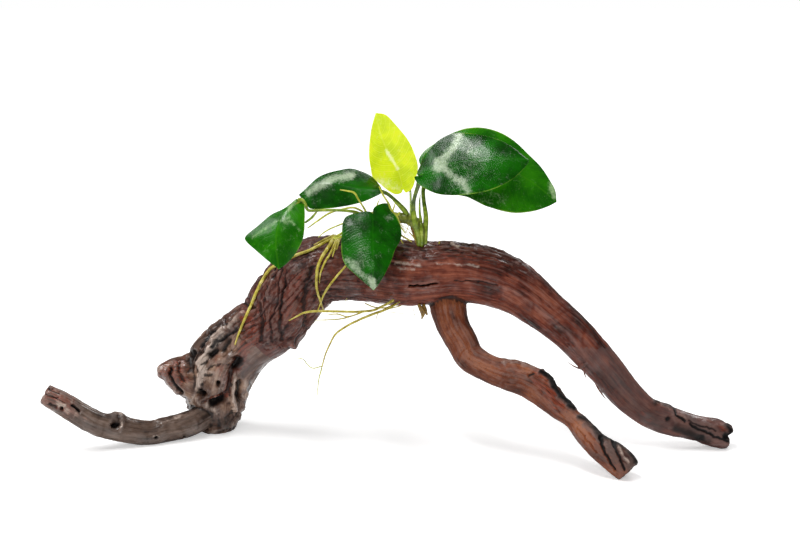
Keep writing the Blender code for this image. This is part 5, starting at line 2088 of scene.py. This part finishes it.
for k, (name, runs) in enumerate(FREE_ROOTS.items()):
    finish = "root_green" if "air" in name else "root_yellow"
    plant_piece(
        name + "_live", [path(run, 0.5) for run in runs], finish, "root", name,
        Sway=0.5, Sway_Size=6.0, Knobs=0.32, Rings=0.05, Ring_Gap=4.7, Seed=60.0 + k, **ROOT_SIZES,
    )

# %% Fine roots, brown tips, splinters and hairs
# across, up, back, half thickness
FINE_ROOTS = [
    [(-9.5, 72, -13, 0.3), (-5, 70, -13.5, 0.32), (1, 69.6, -11.5, 0.34), (6.5, 71.5, -8.5, 0.3)],
    [(-8, 65.8, -12, 0.25), (-3, 67.2, -11.5, 0.3), (3, 70.4, -9.5, 0.3), (8, 72.6, -6.5, 0.25)],
    [(-4, 63.8, -11, 0.12), (-2.5, 67.4, -11, 0.2), (2.5, 69, -9.5, 0.26), (8.5, 70.8, -6.5, 0.26)],
    [(2.5, 67.5, -8.5, 0.08), (6.5, 67, -8, 0.1), (16, 66.4, -6, 0.06)],
    [(14.5, 69.8, -4, 0.1), (15, 67, -4.5, 0.08), (15.6, 64.2, -5, 0.05)],
    [(-13, 62.5, -10.4, 0.1), (-14.4, 60, -10.8, 0.08), (-15, 57, -11, 0.05)],
    [(8, 113, -3, 0.16), (10, 109, -2.6, 0.14), (12.6, 105, -1.6, 0.1)],
    [(5, 112.5, -3.6, 0.16), (9.5, 110.5, -3.4, 0.14), (14, 107.5, -2.2, 0.1)],
    [(3, 112, -3.6, 0.2), (4.4, 107, -6, 0.18), (6, 103, -6.2, 0.14)],
    [
        (12.5, 111.4, -2.4, 0.2), (11.6, 108.6, -2.6, 0.18), (10.4, 106.2, -2.8, 0.14),
        (9.4, 103.4, -2.4, 0.12),
    ],
    [(7, 107.6, -4.6, 0.3), (9.2, 105.4, -3.6, 0.45), (12, 103.8, -2.4, 0.45), (14, 102.4, -1.6, 0.3)],
    [(12.4, 107.4, -2, 0.28), (14.6, 105.2, -1.4, 0.32), (16, 103, -1, 0.25)],
    [(6.8, 105.6, -5.2, 0.4), (8.4, 103.4, -4.4, 0.4), (9.6, 101.6, -3.6, 0.25)],
    [(27.2, 100.2, 2, 0.45), (27.6, 101.8, 1.8, 0.42), (27.9, 103.2, 1.8, 0.2)],
]
CLUMP_ROOTS = [
    [(17.2, 71.6, -3, 0.9), (18.6, 68.6, -3.4, 0.95), (19.2, 65.6, -3.2, 0.6), (18.8, 63.8, -3, 0.25)],
    [(19.6, 71.8, -2, 0.9), (20.6, 68.4, -2.6, 0.9), (21.6, 66, -2.4, 0.4)],
    [(18.4, 70.4, -4.4, 0.7), (20, 67.4, -4.8, 0.6), (19.4, 64.6, -4.4, 0.2)],
    [(13.8, 110.4, 1, 0.9), (15.2, 107, 0.6, 1.1), (16.2, 103.4, 0.8, 1), (16.8, 100, 1, 0.8)],
]
SPLINTERS = [
    [(99.5, 39.4, -1, 0.3), (97.4, 39.4, -2, 0.36), (94.6, 40.6, -3, 0.25), (91.9, 42.4, -3.5, 0.08)],
    [(99.4, 39.4, 0, 0.35), (100.2, 36.6, -0.5, 0.3), (101.2, 34.2, -1, 0.08)],
    [(104.5, 34, 0, 0.3), (107.3, 29, 0, 0.4), (109.4, 25.8, -0.3, 0.3), (111, 24, -0.5, 0.08)],
]
SMALL_PIECES = {
    # name: runs, finish, slot, sides and seed, then sway, its size, knobs and their size
    "fine_roots": (FINE_ROOTS, "root_yellow", "root", 8, 80.0, (0.6, 5.0, 0.3, 1.2)),
    "root_clump": (CLUMP_ROOTS, "root_brown", "root", 14, 90.0, (0.4, 3.0, 0.6, 1.1)),
    "wood_splinters": (SPLINTERS, "splinter_red", "driftwood", 8, 95.0, (0.3, 4.0, 0.5, 1.0)),
}
for name, (runs, finish, slot, sides, seed, (sway, sway_size, knobs, knob_size)) in SMALL_PIECES.items():
    plant_piece(
        name, [path(run, 0.4) for run in runs], finish, slot,
        Sides=sides, Sway=sway, Sway_Size=sway_size, Knobs=knobs, Knob_Size=knob_size, Seed=seed,
    )
hairy_runs = FREE_ROOTS["root_under_arch"] + FREE_ROOTS["root_hanging"]
plant_piece(
    "root_hairs", [path(run, 0.5) for run in hairy_runs], "root_yellow", "root", tree=hairs_on_a_path,
    Gap=4.5, Length=3.2, Thickness=0.055, Seed=7,
)
